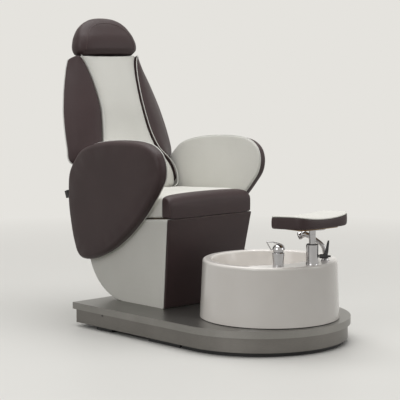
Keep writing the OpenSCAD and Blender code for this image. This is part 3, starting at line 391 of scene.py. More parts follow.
# ---- the mixer's loop lever ----
# A cast and plated lever: a cap over the cartridge ball with a flat loop that rises towards the bather.
# The loop is swept here with rounded edges, and stands in for the plainer lever of the CAD model.
tub_axis = (0.0, -427.369)
rim = 362.0
mixer_turn = math.radians(232.3)
mixer_at = Vector((240 * math.cos(mixer_turn), tub_axis[1] + 240 * math.sin(mixer_turn), rim + 68))


def spun(angle, origin):
    """Takes a point of a part's own frame, turned about the upright by an angle, to its place."""
    c, s = math.cos(angle), math.sin(angle)
    return lambda p: tuple(Vector((p[0] * c - p[1] * s, p[0] * s + p[1] * c, p[2])) + Vector(origin))


def carried(shape, where):
    return [where(p) for p in shape[0]], shape[1]


def strap(points, across, up, closed):
    """Flat bar with rounded edges swept along a line in its own XZ plane."""
    total, rings = len(points), []
    for i, (x, z) in enumerate(points):
        ahead = points[(i + 1) % total] if closed or i < total - 1 else points[i]
        behind = points[i - 1] if closed or i > 0 else points[i]
        along = Vector((ahead[0] - behind[0], ahead[1] - behind[1])).normalized()
        wide, thick = (across(i), up(i)) if callable(across) else (across, up)
        ring = []
        for k in range(16):
            t = 2 * math.pi * k / 16
            c, s = math.cos(t), math.sin(t)
            y = math.copysign(abs(c) ** 0.55, c) * wide
            n = math.copysign(abs(s) ** 0.75, s) * thick
            ring.append((x - along.y * n, y, z + along.x * n))
        rings.append(ring)
    return loft(rings, closed=closed)


def curve(keys, x):
    """Smooth curve through keys of (position, value)."""
    i = 0
    while i < len(keys) - 2 and x >= keys[i + 1][0]:
        i += 1

    def slope(k):
        a, b = max(k - 1, 0), min(k + 1, len(keys) - 1)
        return (keys[b][1] - keys[a][1]) / (keys[b][0] - keys[a][0])

    h = keys[i + 1][0] - keys[i][0]
    t = (x - keys[i][0]) / h
    return (keys[i][1] * (1 + 2 * t) * (1 - t) ** 2 + slope(i) * h * t * (1 - t) ** 2
            + keys[i + 1][1] * t * t * (3 - 2 * t) - slope(i + 1) * h * t * t * (1 - t))


def fine_line(points, radii, steps):
    """More points, and radii, along a smooth line."""
    xs = [(i, p[0]) for i, p in enumerate(points)]
    zs = [(i, p[1]) for i, p in enumerate(points)]
    rs = [(i, r) for i, r in enumerate(radii)]
    spots = [(len(points) - 1) * k / steps for k in range(steps + 1)]
    return [(curve(xs, s), curve(zs, s)) for s in spots], [curve(rs, s) for s in spots]


cap_out, cap_in = 25.05, 22.1
cap_profile = ([(cap_in * math.sin(t), cap_in * math.cos(t)) for t in map(math.radians, range(90, 0, -6))]
               + [(0.01, cap_in), (0.01, cap_out)]
               + [(cap_out * math.sin(t), cap_out * math.cos(t)) for t in map(math.radians, range(6, 88, 6))]
               + [(cap_out, 0.6), (cap_out - 0.8, 0)])
loop_keys = [(-24, 0), (-24, 10), (-15.5, 21), (-3, 26.2), (14, 30.2), (32, 32.8), (43, 33.9), (47, 32.4),
             (45, 27), (40.8, 19), (33.5, 6.5), (28, -1)]
loop_wide, loop_thick = 7, 2.6
loop, _ = fine_line(loop_keys, [loop_thick] * len(loop_keys), 66)
lever = joined(turned(cap_profile), strap(loop, loop_wide, loop_thick, False))
cast_lever = piece("loop_lever", *carried(lever, spun(math.radians(135), mixer_at)), chrome, "chrome",
                   "mixer_handle")
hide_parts("mixer_lever")

# ---- the hand shower ----
# A plated brass wand: a straight tail in the deck holder, a slim neck that swells into a short spray head.
# It is one smooth swept body with a thin joint line where the head screws on.
shower_at = Vector((114, tub_axis[1] - 215, rim))
wand_line = [(0, -20), (0, -6), (0, 6), (0, 14), (0.3, 24), (1.2, 36), (4, 50), (10, 62), (20, 73), (33, 82),
             (48, 91), (62, 99), (76, 105), (88, 109)]
wand_radius = [9, 9, 9, 9, 9.6, 10, 9.8, 9.4, 9.2, 9.4, 9.9, 10.6, 11.6, 12.4]


def swept(points, radii, sides=28):
    """Round bar along a line in the XZ plane, with its own radius at each point."""
    rings = []
    for i, (x, z) in enumerate(points):
        a, b = points[max(i - 1, 0)], points[min(i + 1, len(points) - 1)]
        along = Vector((b[0] - a[0], b[1] - a[1])).normalized()
        r = radii[i]
        rings.append([(x - along.y * r * math.cos(t), r * math.sin(t), z + along.x * r * math.cos(t))
                      for t in (2 * math.pi * k / sides for k in range(sides))])
    return loft(rings)


tilt = math.radians(22)
head_turn = facing((math.cos(tilt), 0, -math.sin(tilt)))
head_start = Vector((100 - 20 * math.cos(tilt), 0, 107 + 20 * math.sin(tilt)))
head = turned([(0.01, 0), (9, 0.3), (11.4, 1.6), (12.2, 4), (13.4, 12), (14.6, 20), (14.1, 20.6),
               (14.9, 21.4), (16.4, 30), (16.9, 33), (16.6, 34), (15.6, 34), (15.2, 32.6), (0.01, 32.6)])
wand = joined(swept(*fine_line(wand_line, wand_radius, 60)), moved(head, head_start, head_turn))
shower = piece("shower_wand", *carried(wand, spun(math.radians(118), shower_at)), chrome, "chrome", "shower")
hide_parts("hand_shower")

# ---- the column clamp ----
# A moulded black lever on the clamp stud: a round hub, and a tapering arm that curls up to its tip.
column_y = -671.869
stud_at = (0, column_y, rim + 33.5)
hub = turned([(5.2, 0), (8.2, 0), (8.7, 0.6), (10.2, 30), (10.3, 33), (9.4, 34.4), (4.6, 34.6), (4.4, 46),
              (3.6, 47), (0.01, 47), (0.01, 38.4), (5.2, 38.4)], 32)
arm_line, arm_radius = fine_line([(52, -3), (56, 8), (60, 22), (62.5, 38), (65, 54), (67.2, 66)],
                                 [8.5, 9.6, 8.8, 7.2, 5.8, 3.8], 30)
clamp = joined(moved(hub, (30, 0, 0), facing((1, 0, 0))), strap(arm_line, lambda i: arm_radius[i] * 1.05,
                                                               lambda i: arm_radius[i] * 0.8, False))
handle = piece("clamp_handle", *carried(clamp, spun(math.radians(-45), stud_at)), satin_black,
               "black_plastic", "column_clamp")
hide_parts("clamp_lever")

# ---- the footrest pad ----
# Foam on a board, under a white top and a brown border: a saddle that is low where the heels lie.
# The two covers meet in a closed seam that follows the saddle round, and the pad leans towards the seat.
pad_at = (0, column_y + 17, rim + 151)
pad_long, pad_wide = 312, 204


def pad_ring(power, inset, height, scale=1.0):
    """Closed line round the pad's plan at a height that may follow the saddle."""
    ring = []
    for k in range(112):
        c, s = math.cos(2 * math.pi * k / 112), math.sin(2 * math.pi * k / 112)
        r = (abs(c) ** power + abs(s) ** power) ** (-1 / power) * scale
        x, y = c * r * (pad_long / 2 - inset), s * r * (pad_wide / 2 - inset)
        ring.append((x, pad_at[1] + y, pad_at[2] + height(x, y)))
    return ring


def underside(x, y): return 3 - 10 * y / pad_wide + 3 * (2 * x / pad_long) ** 4
def saddle(x, y): return 55 - 12 * y / pad_wide - 17 * (1 - min(1, abs(2 * x / pad_long)) ** 2.2)


def above(base, rise): return lambda x, y: base(x, y) + rise


def stuffed(made, swell, voxel, held):
    """Blows a piece up as cloth over foam and carries the swelling over to the piece's own clean mesh.

    No point moves further than swell, held points stay, and creases finer than 20 mm are evened out."""
    shape = made.modifiers.new("remesh", "REMESH")
    shape.mode, shape.voxel_size = "VOXEL", voxel * MM
    graph = bpy.context.evaluated_depsgraph_get()
    fine = bpy.data.meshes.new_from_object(made.evaluated_get(graph), depsgraph=graph)
    made.modifiers.clear()
    rest = np.empty(len(fine.vertices) * 3)
    fine.vertices.foreach_get("co", rest)
    rest = rest.reshape(-1, 3)
    bag = bpy.data.objects.new(made.name + "_bag", fine)
    scene.collection.objects.link(bag)
    cloth = bag.modifiers.new("cloth", "CLOTH")
    cloth.settings.quality = 5
    cloth.settings.mass = 0.3
    cloth.settings.tension_stiffness = cloth.settings.compression_stiffness = 18
    cloth.settings.bending_stiffness = 2.5
    cloth.settings.use_pressure = True
    cloth.settings.uniform_pressure_force = 4.0
    cloth.settings.effector_weights.gravity = 0
    frames = 16
    cloth.point_cache.frame_start, cloth.point_cache.frame_end = 1, frames
    group = bag.vertex_groups.new(name="held")
    for i, p in enumerate(rest / MM):
        if held(*p):
            group.add([i], 1.0, "REPLACE")
    cloth.settings.vertex_group_mass = "held"
    for f in range(1, frames + 1):
        scene.frame_set(f)
    graph = bpy.context.evaluated_depsgraph_get()
    blown = bag.evaluated_get(graph).to_mesh()
    now = np.empty(len(blown.vertices) * 3)
    blown.vertices.foreach_get("co", now)
    step = now.reshape(-1, 3) - rest
    bag.evaluated_get(graph).to_mesh_clear()
    scene.frame_set(1)
    far = np.linalg.norm(step, axis=1, keepdims=True)
    step *= np.tanh(far / (swell * MM)) * swell * MM / np.maximum(far, 1e-9)
    neighbours, reach = 40, 16 * MM
    tree = KDTree(len(rest))
    for i, p in enumerate(rest):
        tree.insert(p, i)
    tree.balance()
    for v in made.data.vertices:
        near = tree.find_n(v.co, neighbours)
        share = np.array([math.exp(-(d / reach) ** 2) for _, _, d in near])
        v.co += Vector((step[[i for _, i, _ in near]] * share[:, None]).sum(0) / share.sum())
    bpy.data.objects.remove(bag)
    bpy.data.meshes.remove(fine)
    made.data.update()


border_rings = [pad_ring(8, 15, above(lambda x, y: 0, 8.8), s) for s in (0.03, 0.35, 0.7, 0.97)]
border_rings += [pad_ring(8, 14.5, above(underside, 2)), pad_ring(7, 12, underside),
                 pad_ring(5, 6, underside), pad_ring(4.6, 2.4, above(underside, 1.6)),
                 pad_ring(4.6, 0.6, above(underside, 5))]
for k in range(1, 9):
    border_rings.append(pad_ring(4.6, -0.8 * math.sin(math.pi * k / 9), lambda x, y, k=k: (
        underside(x, y) + 5 + (saddle(x, y) - underside(x, y) - 7) * k / 9)))
border_rings += [pad_ring(4.6, g, above(saddle, z)) for g, z in ((0.4, -1.6), (1.6, -0.6), (4, -0.4))]
border_rings += [pad_ring(4.6, 5, above(saddle, -0.4), s) for s in (0.9, 0.75, 0.55, 0.3, 0.03)]
border = piece("footrest_border", *loft(border_rings), brown_hide, "brown_leather", "foot_pad")
stuffed(border, 3, 7, lambda x, y, z: z < pad_at[2] + 12 or z > pad_at[2] + saddle(x, y - pad_at[1]) - 4)
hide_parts("footrest_band")

top_rings = [pad_ring(4.6, 4, above(saddle, 0.3), s) for s in (0.03, 0.3, 0.55, 0.75, 0.9)]
top_rings += [pad_ring(4.6, g, above(saddle, z)) for g, z in ((3, 0.3), (0.9, 0.8), (0.2, 2.4), (0.9, 4.6))]
top_rings += [pad_ring(4.6, 1, lambda x, y, s=s: saddle(x, y) + 4.6 + 10 * (1 - s ** 3) ** 0.62, s)
              for s in (0.985, 0.955, 0.91, 0.85, 0.77, 0.67, 0.55, 0.42, 0.28, 0.14, 0.03)]
saddle_top = piece("footrest_saddle", *loft(top_rings), white_hide, "white_leather", "foot_pad")
stuffed(saddle_top, 3, 6, lambda x, y, z: z < pad_at[2] + saddle(x, y - pad_at[1]) + 3)
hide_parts("footrest_top")

# ---- the pedestal ----
# A plywood carcass covered in white vinyl, curved under at the rear, with a brown padded front.
# White piping is sewn into both front corners from the platform up to the seat.
nose_y = -756.869
plate_top, seam_h, carcass = 110.0, 516.0, 15.0
seat_front_y, foot_front_y, ped_rear_y = nose_y + 704.2, nose_y + 768.8, nose_y + 1303.5
seat_half, side_lean = 257.0, math.radians(4.86)
arc_at, arc_r = (nose_y + 1053.1, plate_top + 224.7), 224.7


def seam_z(y): return seam_h - 0.088 * (y - seat_front_y)
def side_half(z): return seat_half - math.tan(side_lean) * (seam_h - z)


def ped_front(z, g=0.0):
    return seat_front_y + (foot_front_y - seat_front_y) * (seam_h - z) / (seam_h - plate_top) + g


def ped_rear(z, g=0.0):
    r, dz = arc_r - g, arc_at[1] - z
    if z < arc_at[1]:
        return arc_at[0] + math.sqrt(max(0, r * r - dz * dz))
    share = (z - arc_at[1]) / (seam_z(ped_rear_y) - arc_at[1])
    return arc_at[0] + r + (ped_rear_y - arc_at[0] - arc_r) * share


def ped_ring(t, g, low):
    """Plan ring of the pedestal at a share of its height, drawn in by g, its corners rounded."""
    ring = []
    for corner in range(4):
        side, rear = (-1 if corner in (0, 3) else 1), corner >= 2
        q = (18 if rear else 5) - min(g, 14 if rear else 3)
        for k in range(9):
            angle = math.radians(180 + 90 * corner + 11.25 * k)
            z = low + t * (seam_z(ped_rear_y if rear else seat_front_y) - low)
            y = (ped_rear(z, g) - q) if rear else (ped_front(z, g) + q)
            ring.append((side * (side_half(z) - g - q) + q * math.cos(angle), y + q * math.sin(angle), z))
    filled = []
    for i, p in enumerate(ring):
        filled.append(p)
        if i % 9 == 8:
            n = ring[(i + 1) % len(ring)]
            filled += [tuple(Vector(p).lerp(Vector(n), j / 14)) for j in range(1, 14)]
    return filled


levels = [(k / 44) ** 1.6 for k in range(45)]
cover = piece("pedestal_cover", *loft([ped_ring(t, 0, plate_top + 0.2) for t in levels]
                                      + [ped_ring(1, 3, plate_top)]
                                      + [ped_ring(t, carcass, plate_top + carcass) for t in levels[::-1]]),
              white_hide, "white_leather", "base")
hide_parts("pedestal_shell")


def section(count, power):
    """Rounded section as (across, depth) from -1 to 1, its front first and then its back."""
    across = [math.sin(math.pi * (i / (count - 1) - 0.5)) for i in range(count)]
    depth = [max(0.0, 1 - abs(u) ** power) ** (1 / power) for u in across]
    return list(zip(across, depth)) + [(u, -d) for u, d in list(zip(across, depth))[-2:0:-1]]


def end_inset(v, low, high, radius):
    reach = min(v - low, high - v)
    return 0 if reach >= radius else radius - math.sqrt(max(0, radius ** 2 - (radius - reach) ** 2))


def padding(low, high, radius, left, right, front, back, place, steps, count, power, shrink):
    """Rings of a padded form between two ends, drawn in all round by shrink."""
    low, high = low + shrink, high - shrink
    ends = [radius * (1 - math.cos(math.pi / 2 * k / 5)) for k in range(5)]
    stations = ([low + e for e in ends] + [low + radius + (high - low - 2 * radius) * k / steps
                                          for k in range(steps + 1)] + [high - e for e in ends[::-1]])
    rings = []
    for v in stations:
        q = min(end_inset(v, low, high, radius), (right(v) - left(v)) * 0.36)
        a0, a1 = left(v) + q + shrink, right(v) - q - shrink
        ring = []
        for c, s in section(count, power):
            a = (a0 + a1) / 2 + (a1 - a0) / 2 * c
            f, b = front(a, v), back(a, v)
            half = abs(f - b) / 2 - min(q, abs(f - b) / 2 - 1) - shrink / 2
            sign = 1 if f > b else -1
            ring.append(place(a, v, (f + b) / 2 - sign * shrink / 2 + sign * half * s))
        rings.append(ring)
    return loft(rings)


front_rows = padding(plate_top + 2, seam_h - 0.4, 4, lambda v: -side_half(v) + 1.2,
                     lambda v: side_half(v) - 1.2,
                     lambda a, v: 12 + 2 * (1 - (a / 260) ** 2), lambda a, v: 0.4,
                     lambda a, v, w: (a, ped_front(v) - w, v), 44, 49, 14, shrink=0.4)
front = piece("pedestal_front", *front_rows, brown_hide, "brown_leather", "base")
stuffed(front, 2.5, 9, lambda x, y, z: y > ped_front(z) - 5)
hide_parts("front_panel")


def cord_shape(points, radius, closed, sides=8):
    """Round cord along a line."""
    line = [Vector(p) for p in points]
    total = len(line)
    rings, normal = [], None
    for i, p in enumerate(line):
        ahead = line[(i + 1) % total] if closed or i < total - 1 else p
        behind = line[i - 1] if closed or i > 0 else p
        along = (ahead - behind).normalized()
        if normal is None:
            normal = along.orthogonal().normalized()
        normal = (normal - along * normal.dot(along)).normalized()
        across = along.cross(normal)
        rings.append([tuple(p + (normal * math.cos(t) + across * math.sin(t)) * radius)
                      for t in (2 * math.pi * k / sides for k in range(sides))])
    if not closed:
        return loft(rings)
    if normal.dot(Vector(rings[0][0]) - line[0]) < 0.9 * radius:
        first = (Vector(rings[0][0]) - line[0]).normalized()
        last = (Vector(rings[-1][0]) - line[-1]).normalized()
        along = (line[0] - line[-1]).normalized()
        twist = math.atan2(last.cross(first).dot(along), last.dot(first))
        for i, ring in enumerate(rings):
            share = twist * i / total
            along = (line[(i + 1) % total] - line[i - 1]).normalized()
            spun = []
            for q in ring:
                arm = Vector(q) - line[i]
                spun.append(tuple(line[i] + arm * math.cos(share) + along.cross(arm) * math.sin(share)))
            rings[i] = spun
    return loft(rings, closed=True)


corner_heights = [plate_top + 2.5 + (seam_h - plate_top - 5) * k / 40 for k in range(41)]
corner_cords = [cord_shape([(s * (side_half(z) - 0.4), ped_front(z) - 1.2, z) for z in corner_heights],
                           2.2, False, 10) for s in (-1, 1)]
piece("corner_piping", *joined(*corner_cords), welt_white, "white_leather", "base")

# ---- the seat cushion ----
# A white stuffed top with a slightly crowned face, and a brown front that rolls over its top edge.
# Both are pulled tight over foam on the seat board; piping closes the brown front at both ends.
def seat_top(a, y):
    return (617 - 0.045 * (y - seat_front_y) + 8 * (1 - (a / seat_half) ** 2)
            - 6 * max(0, 1 - (y - seat_front_y) / 90) ** 2)


def seat_side(y): return seat_half - 4 - 4 * ((y - seat_front_y - 230) / 240) ** 2


front_deep, front_proud, front_round = 52, 12, 34
cushion = piece("seat_cushion_top", *padding(
    seat_front_y + front_deep - front_proud + 0.3, seat_front_y + 451, 13, lambda v: -seat_side(v), seat_side,
    seat_top, lambda a, v: seam_z(v) + 0.4, lambda a, v, w: (-a, v, w), 40, 47, 9, shrink=0.8),
    white_hide, "white_leather", "base")
stuffed(cushion, 5, 10, lambda x, y, z: z < seam_z(y) + 12 or y < seat_front_y + front_deep)
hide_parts("seat_cushion")


def front_ring(q, scale=1.0):
    """Section of the brown front, q behind its face."""
    y = seat_front_y - front_proud + q
    side = end_inset(q, 0, front_deep, 6)
    d = max(0, front_round - q)
    drop = max(side, front_round - math.sqrt(front_round ** 2 - d * d))
    half = seat_side(y) + 1 - side
    ring = []
    for power, sign in ((8, 1), (14, -1)):
        us = [math.sin(math.pi * (k / 46 - 0.5)) for k in range(47)][::sign]
        for u in (us if sign > 0 else us[1:-1]):
            low, high = seam_h + 0.3 + side * 0.2, seat_top(half * u, y) + 3 - drop
            z = (low + high) / 2 + sign * (high - low) / 2 * max(0, 1 - abs(u) ** power) ** (1 / power)
            ring.append((-half * u * scale, y, seam_h + 50 + (z - seam_h - 50) * scale))
    return ring


depths = [0, 0.4, 1.5, 3.5, 6, 9, 12, 16, 20, 24, 28, 32, 36, 40, 44, 47, 49.5, 51.2, 51.8, 52]
brown_front = piece("seat_roll_front", *loft([front_ring(0, s) for s in (0.05, 0.3, 0.55, 0.75, 0.9, 0.97)]
                                             + [front_ring(q) for q in depths]), brown_hide, "brown_leather",
                    "base")
glued_y = seat_front_y + front_deep - front_proud - 5
stuffed(brown_front, 3.5, 8, lambda x, y, z: z < seam_h + 8 or y > glued_y)
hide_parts("seat_front")


def surface_of(made):
    """What is nearest on a piece, for laying seams on it."""
    graph = bpy.context.evaluated_depsgraph_get()
    return BVHTree.FromObject(made, graph)


def laid_on(tree, points, lift):
    """Points in millimetres brought onto a surface and lifted off it."""
    laid = []
    for p in points:
        spot, normal, _, _ = tree.find_nearest(Vector(p) * MM)
        laid.append(tuple((spot + normal * lift * MM) / MM))
    return laid


def evened(points, closed, step):
    """The same line with its points a step apart."""
    line = [Vector(p) for p in points] + ([Vector(points[0])] if closed else [])
    runs = [0.0]
    for a, b in zip(line, line[1:]):
        runs.append(runs[-1] + (b - a).length)
    count = max(3, int(runs[-1] / step))
    spots, i = [], 0
    for k in range(count if closed else count + 1):
        want = runs[-1] * k / count
        while i < len(runs) - 2 and runs[i + 1] < want:
            i += 1
        t = (want - runs[i]) / max(runs[i + 1] - runs[i], 1e-9)
        spots.append(tuple(line[i].lerp(line[i + 1], t)))
    return spots


front_hull = surface_of(brown_front)
roll_edge = [p for p in front_ring(front_deep - 1.2)[:47] if p[2] > seam_h + 8]
roll_edge = [(roll_edge[0][0], roll_edge[0][1], seam_h + 3)] + roll_edge + [
    (roll_edge[-1][0], roll_edge[-1][1], seam_h + 3)]
seam_line = laid_on(front_hull, evened(roll_edge, False, 6), 0.4)
piece("seat_roll_piping", *cord_shape(seam_line, 1.7, False), welt_white, "white_leather", "base")
lower_line = [(x, ped_front(seam_h - 3) - 12.5 - 3 * (1 - (x / 260) ** 2), seam_h - 3.2)
              for x in (-246 + 492 * k / 80 for k in range(81))]
piece("front_top_welt", *cord_shape(lower_line, 1.4, False, 6), welt_brown, "brown_leather", "base")

# ---- the backrest ----
# A white centre pad between two brown wing-shaped bolsters, foam on a moulded board.
# The covers are blown up over their foam, and piping closes every seam between white and brown.
pivot = (nose_y + 1234.5, seam_h - 11)
recline = math.radians(20)


def back_at(a, v, w):
    """Across, up along the back, and to the rear, from the recline shaft."""
    return (a, pivot[0] + w * math.cos(recline) + v * math.sin(recline),
            pivot[1] + v * math.cos(recline) - w * math.sin(recline))


def bowed_at(a, v, w):
    return back_at(a, v - 15 * (1 - (a / 205) ** 2) * max(0, (v - 600) / 145) ** 2, w)


def in_back(x, y, z):
    """The same place as across, up and rear."""
    y, z = y - pivot[0], z - pivot[1]
    return x, y * math.sin(recline) + z * math.cos(recline), y * math.cos(recline) - z * math.sin(recline)


pad_keys = [(55, 175), (75, 226), (105, 242), (140, 246), (175, 238), (215, 213), (255, 178), (300, 157),
            (380, 138), (487, 126), (600, 133), (680, 148), (722, 164), (745, 180)]
edge_keys = [(0, 256), (176, 258), (214, 274), (238, 312), (260, 323), (300, 322), (379, 316), (463, 304),
             (516, 292), (620, 261), (724, 218), (745, 200)]
face_keys = [(0, -92), (140, -97), (350, -99), (487, -108), (745, -98)]
rim_keys = [(0, -30), (245, -14), (300, -22), (463, -28), (620, -36), (745, -42)]
spine_keys = [(0, 50), (200, 52), (450, 38), (745, 26)]


def wing(a, v):
    p, o = curve(pad_keys, v), curve(edge_keys, v)
    t = min(1, max(0, (abs(a) - p) / max(o - p, 1)))
    return curve(face_keys, v) + (curve(rim_keys, v) - curve(face_keys, v)) * t ** 1.2


def foam_back(a, v):
    t = min(1, abs(a) / curve(edge_keys, v))
    front = curve(face_keys, v) + 40
    return front + (curve(rim_keys, v) + 10 - front) * t ** 3


pad_low, pad_top, bolster_low = 58, 741, 100
centre = piece("back_centre_pad", *padding(
    pad_low, pad_top, 11, lambda v: -curve(pad_keys, v) + 1, lambda v: curve(pad_keys, v) - 1,
    lambda a, v: curve(face_keys, v) - 8 * (1 - (a / curve(pad_keys, v)) ** 2),
    lambda a, v: foam_back(a, v) - 1.2, bowed_at, 90, 41, 3, shrink=0.6), white_hide, "white_leather", "back")


def behind(x, y, z):
    a, v, w = in_back(x, y, z)
    return w > foam_back(a, v) - 14


stuffed(centre, 4, 10, behind)
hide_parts("back_pad")


def wing_face(a, v):
    p, o = curve(pad_keys, v), curve(edge_keys, v)
    rise = min(1, max(0.15, (v - 235) / 150))
    return wing(a, v) - 5 * rise * math.sin(math.pi * min(1, max(0, (abs(a) - p) / max(1, o - p))))


right_wing = piece("bolster_right_cover", *padding(
    bolster_low, pad_top, 11, lambda v: -curve(edge_keys, v) + 3, lambda v: -curve(pad_keys, v) - 0.4,
    wing_face, lambda a, v: foam_back(a, v) - 1.2, bowed_at, 80, 33, 3.5, shrink=1), brown_hide,
    "brown_leather", "back")
stuffed(right_wing, 4, 9, behind)


def mirrored(made, name, slot, body):
    """The same piece for the other side."""
    graph = bpy.context.evaluated_depsgraph_get()
    mesh = bpy.data.meshes.new_from_object(made.evaluated_get(graph), depsgraph=graph)
    form = bmesh.new()
    form.from_mesh(mesh)
    for v in form.verts:
        v.co.x = -v.co.x
    bmesh.ops.reverse_faces(form, faces=form.faces)
    form.to_mesh(mesh)
    form.free()
    twin = bpy.data.objects.new(name, mesh)
    scene.collection.objects.link(twin)
    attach(twin, body)
    return twin


left_wing = mirrored(right_wing, "bolster_left_cover", "brown_leather", "back")
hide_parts("bolster_right")
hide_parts("bolster_left")


def seam_between(low, high, sign, lift):
    """The seam beside the centre pad, laid in the valley between white and brown."""
    spots = [low + (high - low) * k / 120 for k in range(121)]
    return [bowed_at(sign * (curve(pad_keys, v) + 0.2), v, curve(face_keys, v) + lift) for v in spots]


welts = [cord_shape(seam_between(pad_low + 8, pad_top - 4, sign, 0.4), 1.8, False) for sign in (-1, 1)]
piece("back_piping", *joined(*welts), welt_white, "white_leather", "back")
rim_welts = []
for sign in (-1, 1):
    spots = [bolster_low + 16 + (pad_top - bolster_low - 24) * k / 120 for k in range(121)]
    rim_welts.append(cord_shape([bowed_at(sign * (curve(edge_keys, v) - 3.4), v, curve(rim_keys, v) + 7)
                                 for v in spots], 1.7, False))
piece("bolster_edge_piping", *joined(*rim_welts), welt_white, "white_leather", "back")

# ---- the rear shell ----
# A vacuum-formed gloss white tray that closes the back from behind, with a cap over the top edge.
# Its lip turns forward round the moulded board, 22 mm inside the bolsters' edges.
white_shell = Finish("white_shell", Coat_Roughness=0.1, Coat_Weight=0.2)
cloud = white_shell.noise(5, 4)
white_shell.feed("Base Color", white_shell.mix(cloud.clamped(0.35, 0.7), linear((216, 214, 208)),
                                               linear((205, 203, 197))))
white_shell.feed("Roughness", 0.26 + cloud * 0.14)
white_shell.bump(white_shell.noise(350, 2), 0.00005)


shell_thick = 7.6


def shell_edge(v): return curve(edge_keys, v) - 22


def rear_w(a, v, g):
    o = shell_edge(v) - g
    e = foam_back(o, v) + 13 - g * 0.3
    return e + (curve(spine_keys, v) - g - e) * math.sqrt(max(0, 1 - (abs(a) / o) ** 4))


def shell_ring(v, solid=False, grow=0.0):
    outer, inner = shell_edge(v) - grow, shell_edge(v) - shell_thick
    us = [math.sin(math.pi * (k / 72 - 0.5)) for k in range(73)]
    ring = [bowed_at(outer * u, v, rear_w(outer * u, v, grow)) for u in us]
    for u in us[::-1]:
        a = inner * u
        front = foam_back(a, v) + 0.4
        ring.append(bowed_at(a, v, front if solid else max(front, rear_w(a, v, shell_thick))))
    return ring


shell_rows = [shell_ring(8 + (735.8 - 8) * k / 110) for k in range(111)]
shell_rows += [shell_ring(736, True), shell_ring(741, True), shell_ring(744, True, 1.2),
               shell_ring(745, True, 3.5)]
shell = piece("rear_shell", *loft(shell_rows), white_shell, "white_shell", "back")
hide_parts("back_shell")
dress(white_shell, "back_roll")

# ---- the headrest ----
# A D-shaped brown pillow on two chrome posts: a front panel sewn to a boxing band by a curved seam.
# It is stuffed hard and sits flat on the top edge of the back.
head_base, head_h, head_w = 737, 186, -68
head_keys = [(0, 160), (0.05, 171), (0.1, 178), (0.2, 183), (0.3, 182), (0.4, 177), (0.5, 171), (0.63, 158),
             (0.76, 139), (0.87, 112), (0.95, 79), (0.99, 47), (1, 28)]
head_depth = [(0, 46), (0.1, 57), (0.25, 61), (0.42, 59), (0.6, 49), (0.76, 39), (0.88, 29), (0.95, 20),
              (1, 8)]
shares = ([0, 0.008, 0.02, 0.04, 0.07] + [0.1 + 0.84 * k / 34 for k in range(35)]
          + [0.955, 0.97, 0.982, 0.992, 1])


def nod(t): return head_w - 20 * t ** 1.5


rows = []
for t in shares:
    tuck = 6 - 60 * t if t < 0.1 else 0
    rows.append([back_at((curve(head_keys, t) - tuck - 2) * c, head_base + 1.5 + t * (head_h - 4),
                         nod(t) - (curve(head_depth, t) - tuck - 2) * s) for c, s in section(33, 3.2)])
pillow = piece("headrest_cover", *loft(rows), brown_hide, "brown_leather", "headrest")
stuffed(pillow, 5, 9, lambda x, y, z: in_back(x, y, z)[1] < head_base + 6)
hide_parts("headrest_pillow")
pillow_hull = surface_of(pillow)


def round_seam(inset, front):
    """A seam round the pillow's dome, where the panel of one face meets the boxing."""
    line = []
    for k in range(97):
        g = math.pi * k / 96
        t = 0.03 + (1 - inset / head_h - 0.03) * math.sin(g) ** 0.8
        a = -math.cos(g) * (186 - inset)
        line.append(back_at(a, head_base + t * head_h, nod(t) - front * (curve(head_depth, t) + 4)))
    return laid_on(pillow_hull, evened(line, False, 5), 0.1)


front_seam = cord_shape(round_seam(34, 1), 1.3, False, 6)
piece("headrest_seam", *front_seam, welt_brown, "brown_leather", "headrest")
rear_seam = cord_shape(round_seam(30, -1), 1.3, False, 6)
piece("headrest_rear_seam", *rear_seam, welt_brown, "brown_leather", "headrest")

# ---- the armrests ----
# Egg-shaped wings bolted to both sides of the pedestal: brown outside, a white pad on the inner face.
# The right one is stuffed, and the left one is its mirror image.
arm_at = Vector((-323, nose_y + 753, 600))
arm_keys = [(509, 760), (558, 696), (578, 614), (583, 520), (572, 405), (552, 326), (519, 288), (463, 283),
            (388, 304), (282, 352), (167, 428), (70, 511), (-4, 590), (-52, 648), (-77, 684), (-88, 722),
            (-86, 762), (-68, 802), (-30, 832), (20, 848), (96, 855), (200, 853), (300, 844), (388, 828),
            (458, 803)]


def closed_line(keys, per_key=6):
    """Smooth closed line through keys."""
    total, line = len(keys), []
    for k in range(total):
        a, b, c, d = (keys[(k + j) % total] for j in (-1, 0, 1, 2))
        for i in range(per_key):
            t = i / per_key
            line.append(tuple(0.5 * ((2 * q) + (r - p) * t + (2 * p - 5 * q + 4 * r - s) * t * t
                                     + (3 * q - p - 3 * r + s) * t ** 3)
                              for p, q, r, s in zip(a, b, c, d)))
    return line


arm_line = evened([(y, z, 0) for y, z in closed_line(arm_keys, 8)], True, 9)
arm_thick, arm_pad = 56, 10
arm_heart = (290, 600)


def arm_outline(g):
    """Outline of the armrest drawn in by g."""
    count, line = len(arm_line), []
    for i, p in enumerate(arm_line):
        a, b = Vector(arm_line[i - 1]), Vector(arm_line[(i + 1) % count])
        t = (b - a).normalized()
        line.append((p[0] + t.y * g, p[1] - t.x * g))
    return line


def arm_place(depth, y, z):
    """From the armrest's own plane, which leans out like the pedestal's side."""
    c, s = math.cos(side_lean), math.sin(side_lean)
    z -= arm_at.z
    return arm_at.x + depth * c - z * s, arm_at.y + y, arm_at.z + depth * s + z * c


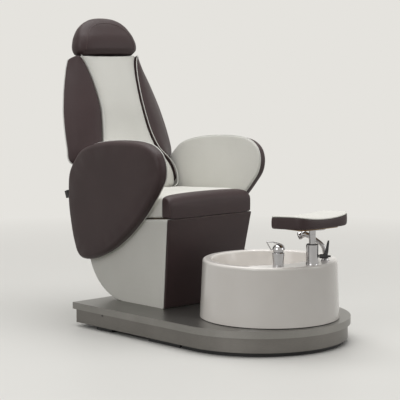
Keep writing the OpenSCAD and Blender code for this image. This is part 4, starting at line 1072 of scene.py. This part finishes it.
def arm_form(start, thick, outer, inner, g, crown):
    """Padded form from one depth, with its own rounds on the outer and the inner edge, and crowned faces."""
    def face_ring(depth, edge, s, bulge):
        return [arm_place(depth + bulge * (1 - s * s), arm_heart[0] + (y - arm_heart[0]) * s,
                          arm_heart[1] + (z - arm_heart[1]) * s) for y, z in arm_outline(g + edge)]

    steps = (0.03, 0.15, 0.3, 0.45, 0.6, 0.73, 0.84, 0.92, 0.97)
    rings = [face_ring(start, outer, s, -crown) for s in steps]
    for q in range(0, 91, 10):
        t = math.radians(q)
        rings.append([arm_place(start + outer * (1 - math.cos(t)), y, z)
                      for y, z in arm_outline(g + outer * (1 - math.sin(t)))])
    for q in range(90, -1, -15):
        t = math.radians(q)
        rings.append([arm_place(start + thick - inner * (1 - math.cos(t)), y, z)
                      for y, z in arm_outline(g + inner * (1 - math.sin(t)))])
    return loft(rings + [face_ring(start + thick, inner, s, crown) for s in steps[::-1]])


def arm_depth(x, y, z):
    """How far a point lies behind the armrest's outer face."""
    c, s = math.cos(side_lean), math.sin(side_lean)
    return (x - arm_at.x) * c + (z - arm_at.z) * s


arm_right = piece("armrest_right_cover", *arm_form(2.5, arm_thick - arm_pad - 3.1, 20, 4, 2.5, 0), brown_hide,
                  "brown_leather", "base")
stuffed(arm_right, 4, 11, lambda x, y, z: arm_depth(x, y, z) > 38)
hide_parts("armrest_right")
pad_form = arm_form(arm_thick - arm_pad + 0.2, arm_pad - 2.5, 1.5, 5, 6, 3.5)
pad_right = piece("armrest_pad_right_cover", *pad_form, white_hide, "white_leather", "base")
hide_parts("armrest_pad_right")
rim_line = [arm_place(arm_thick - arm_pad + 2.2, y, z) for y, z in arm_outline(4.4)]
cord_right = piece("armrest_piping_right", *cord_shape(evened(rim_line, True, 7), 2.4, True), welt_white,
                   "white_leather", "base")
for made, name, slot, node in (
        (arm_right, "armrest_left_cover", "brown_leather", "armrest_left"),
        (pad_right, "armrest_pad_left_cover", "white_leather", "armrest_pad_left"),
        (cord_right, "armrest_piping_left", "white_leather", None)):
    twin = mirrored(made, name, slot, "base")
    if node:
        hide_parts(node)
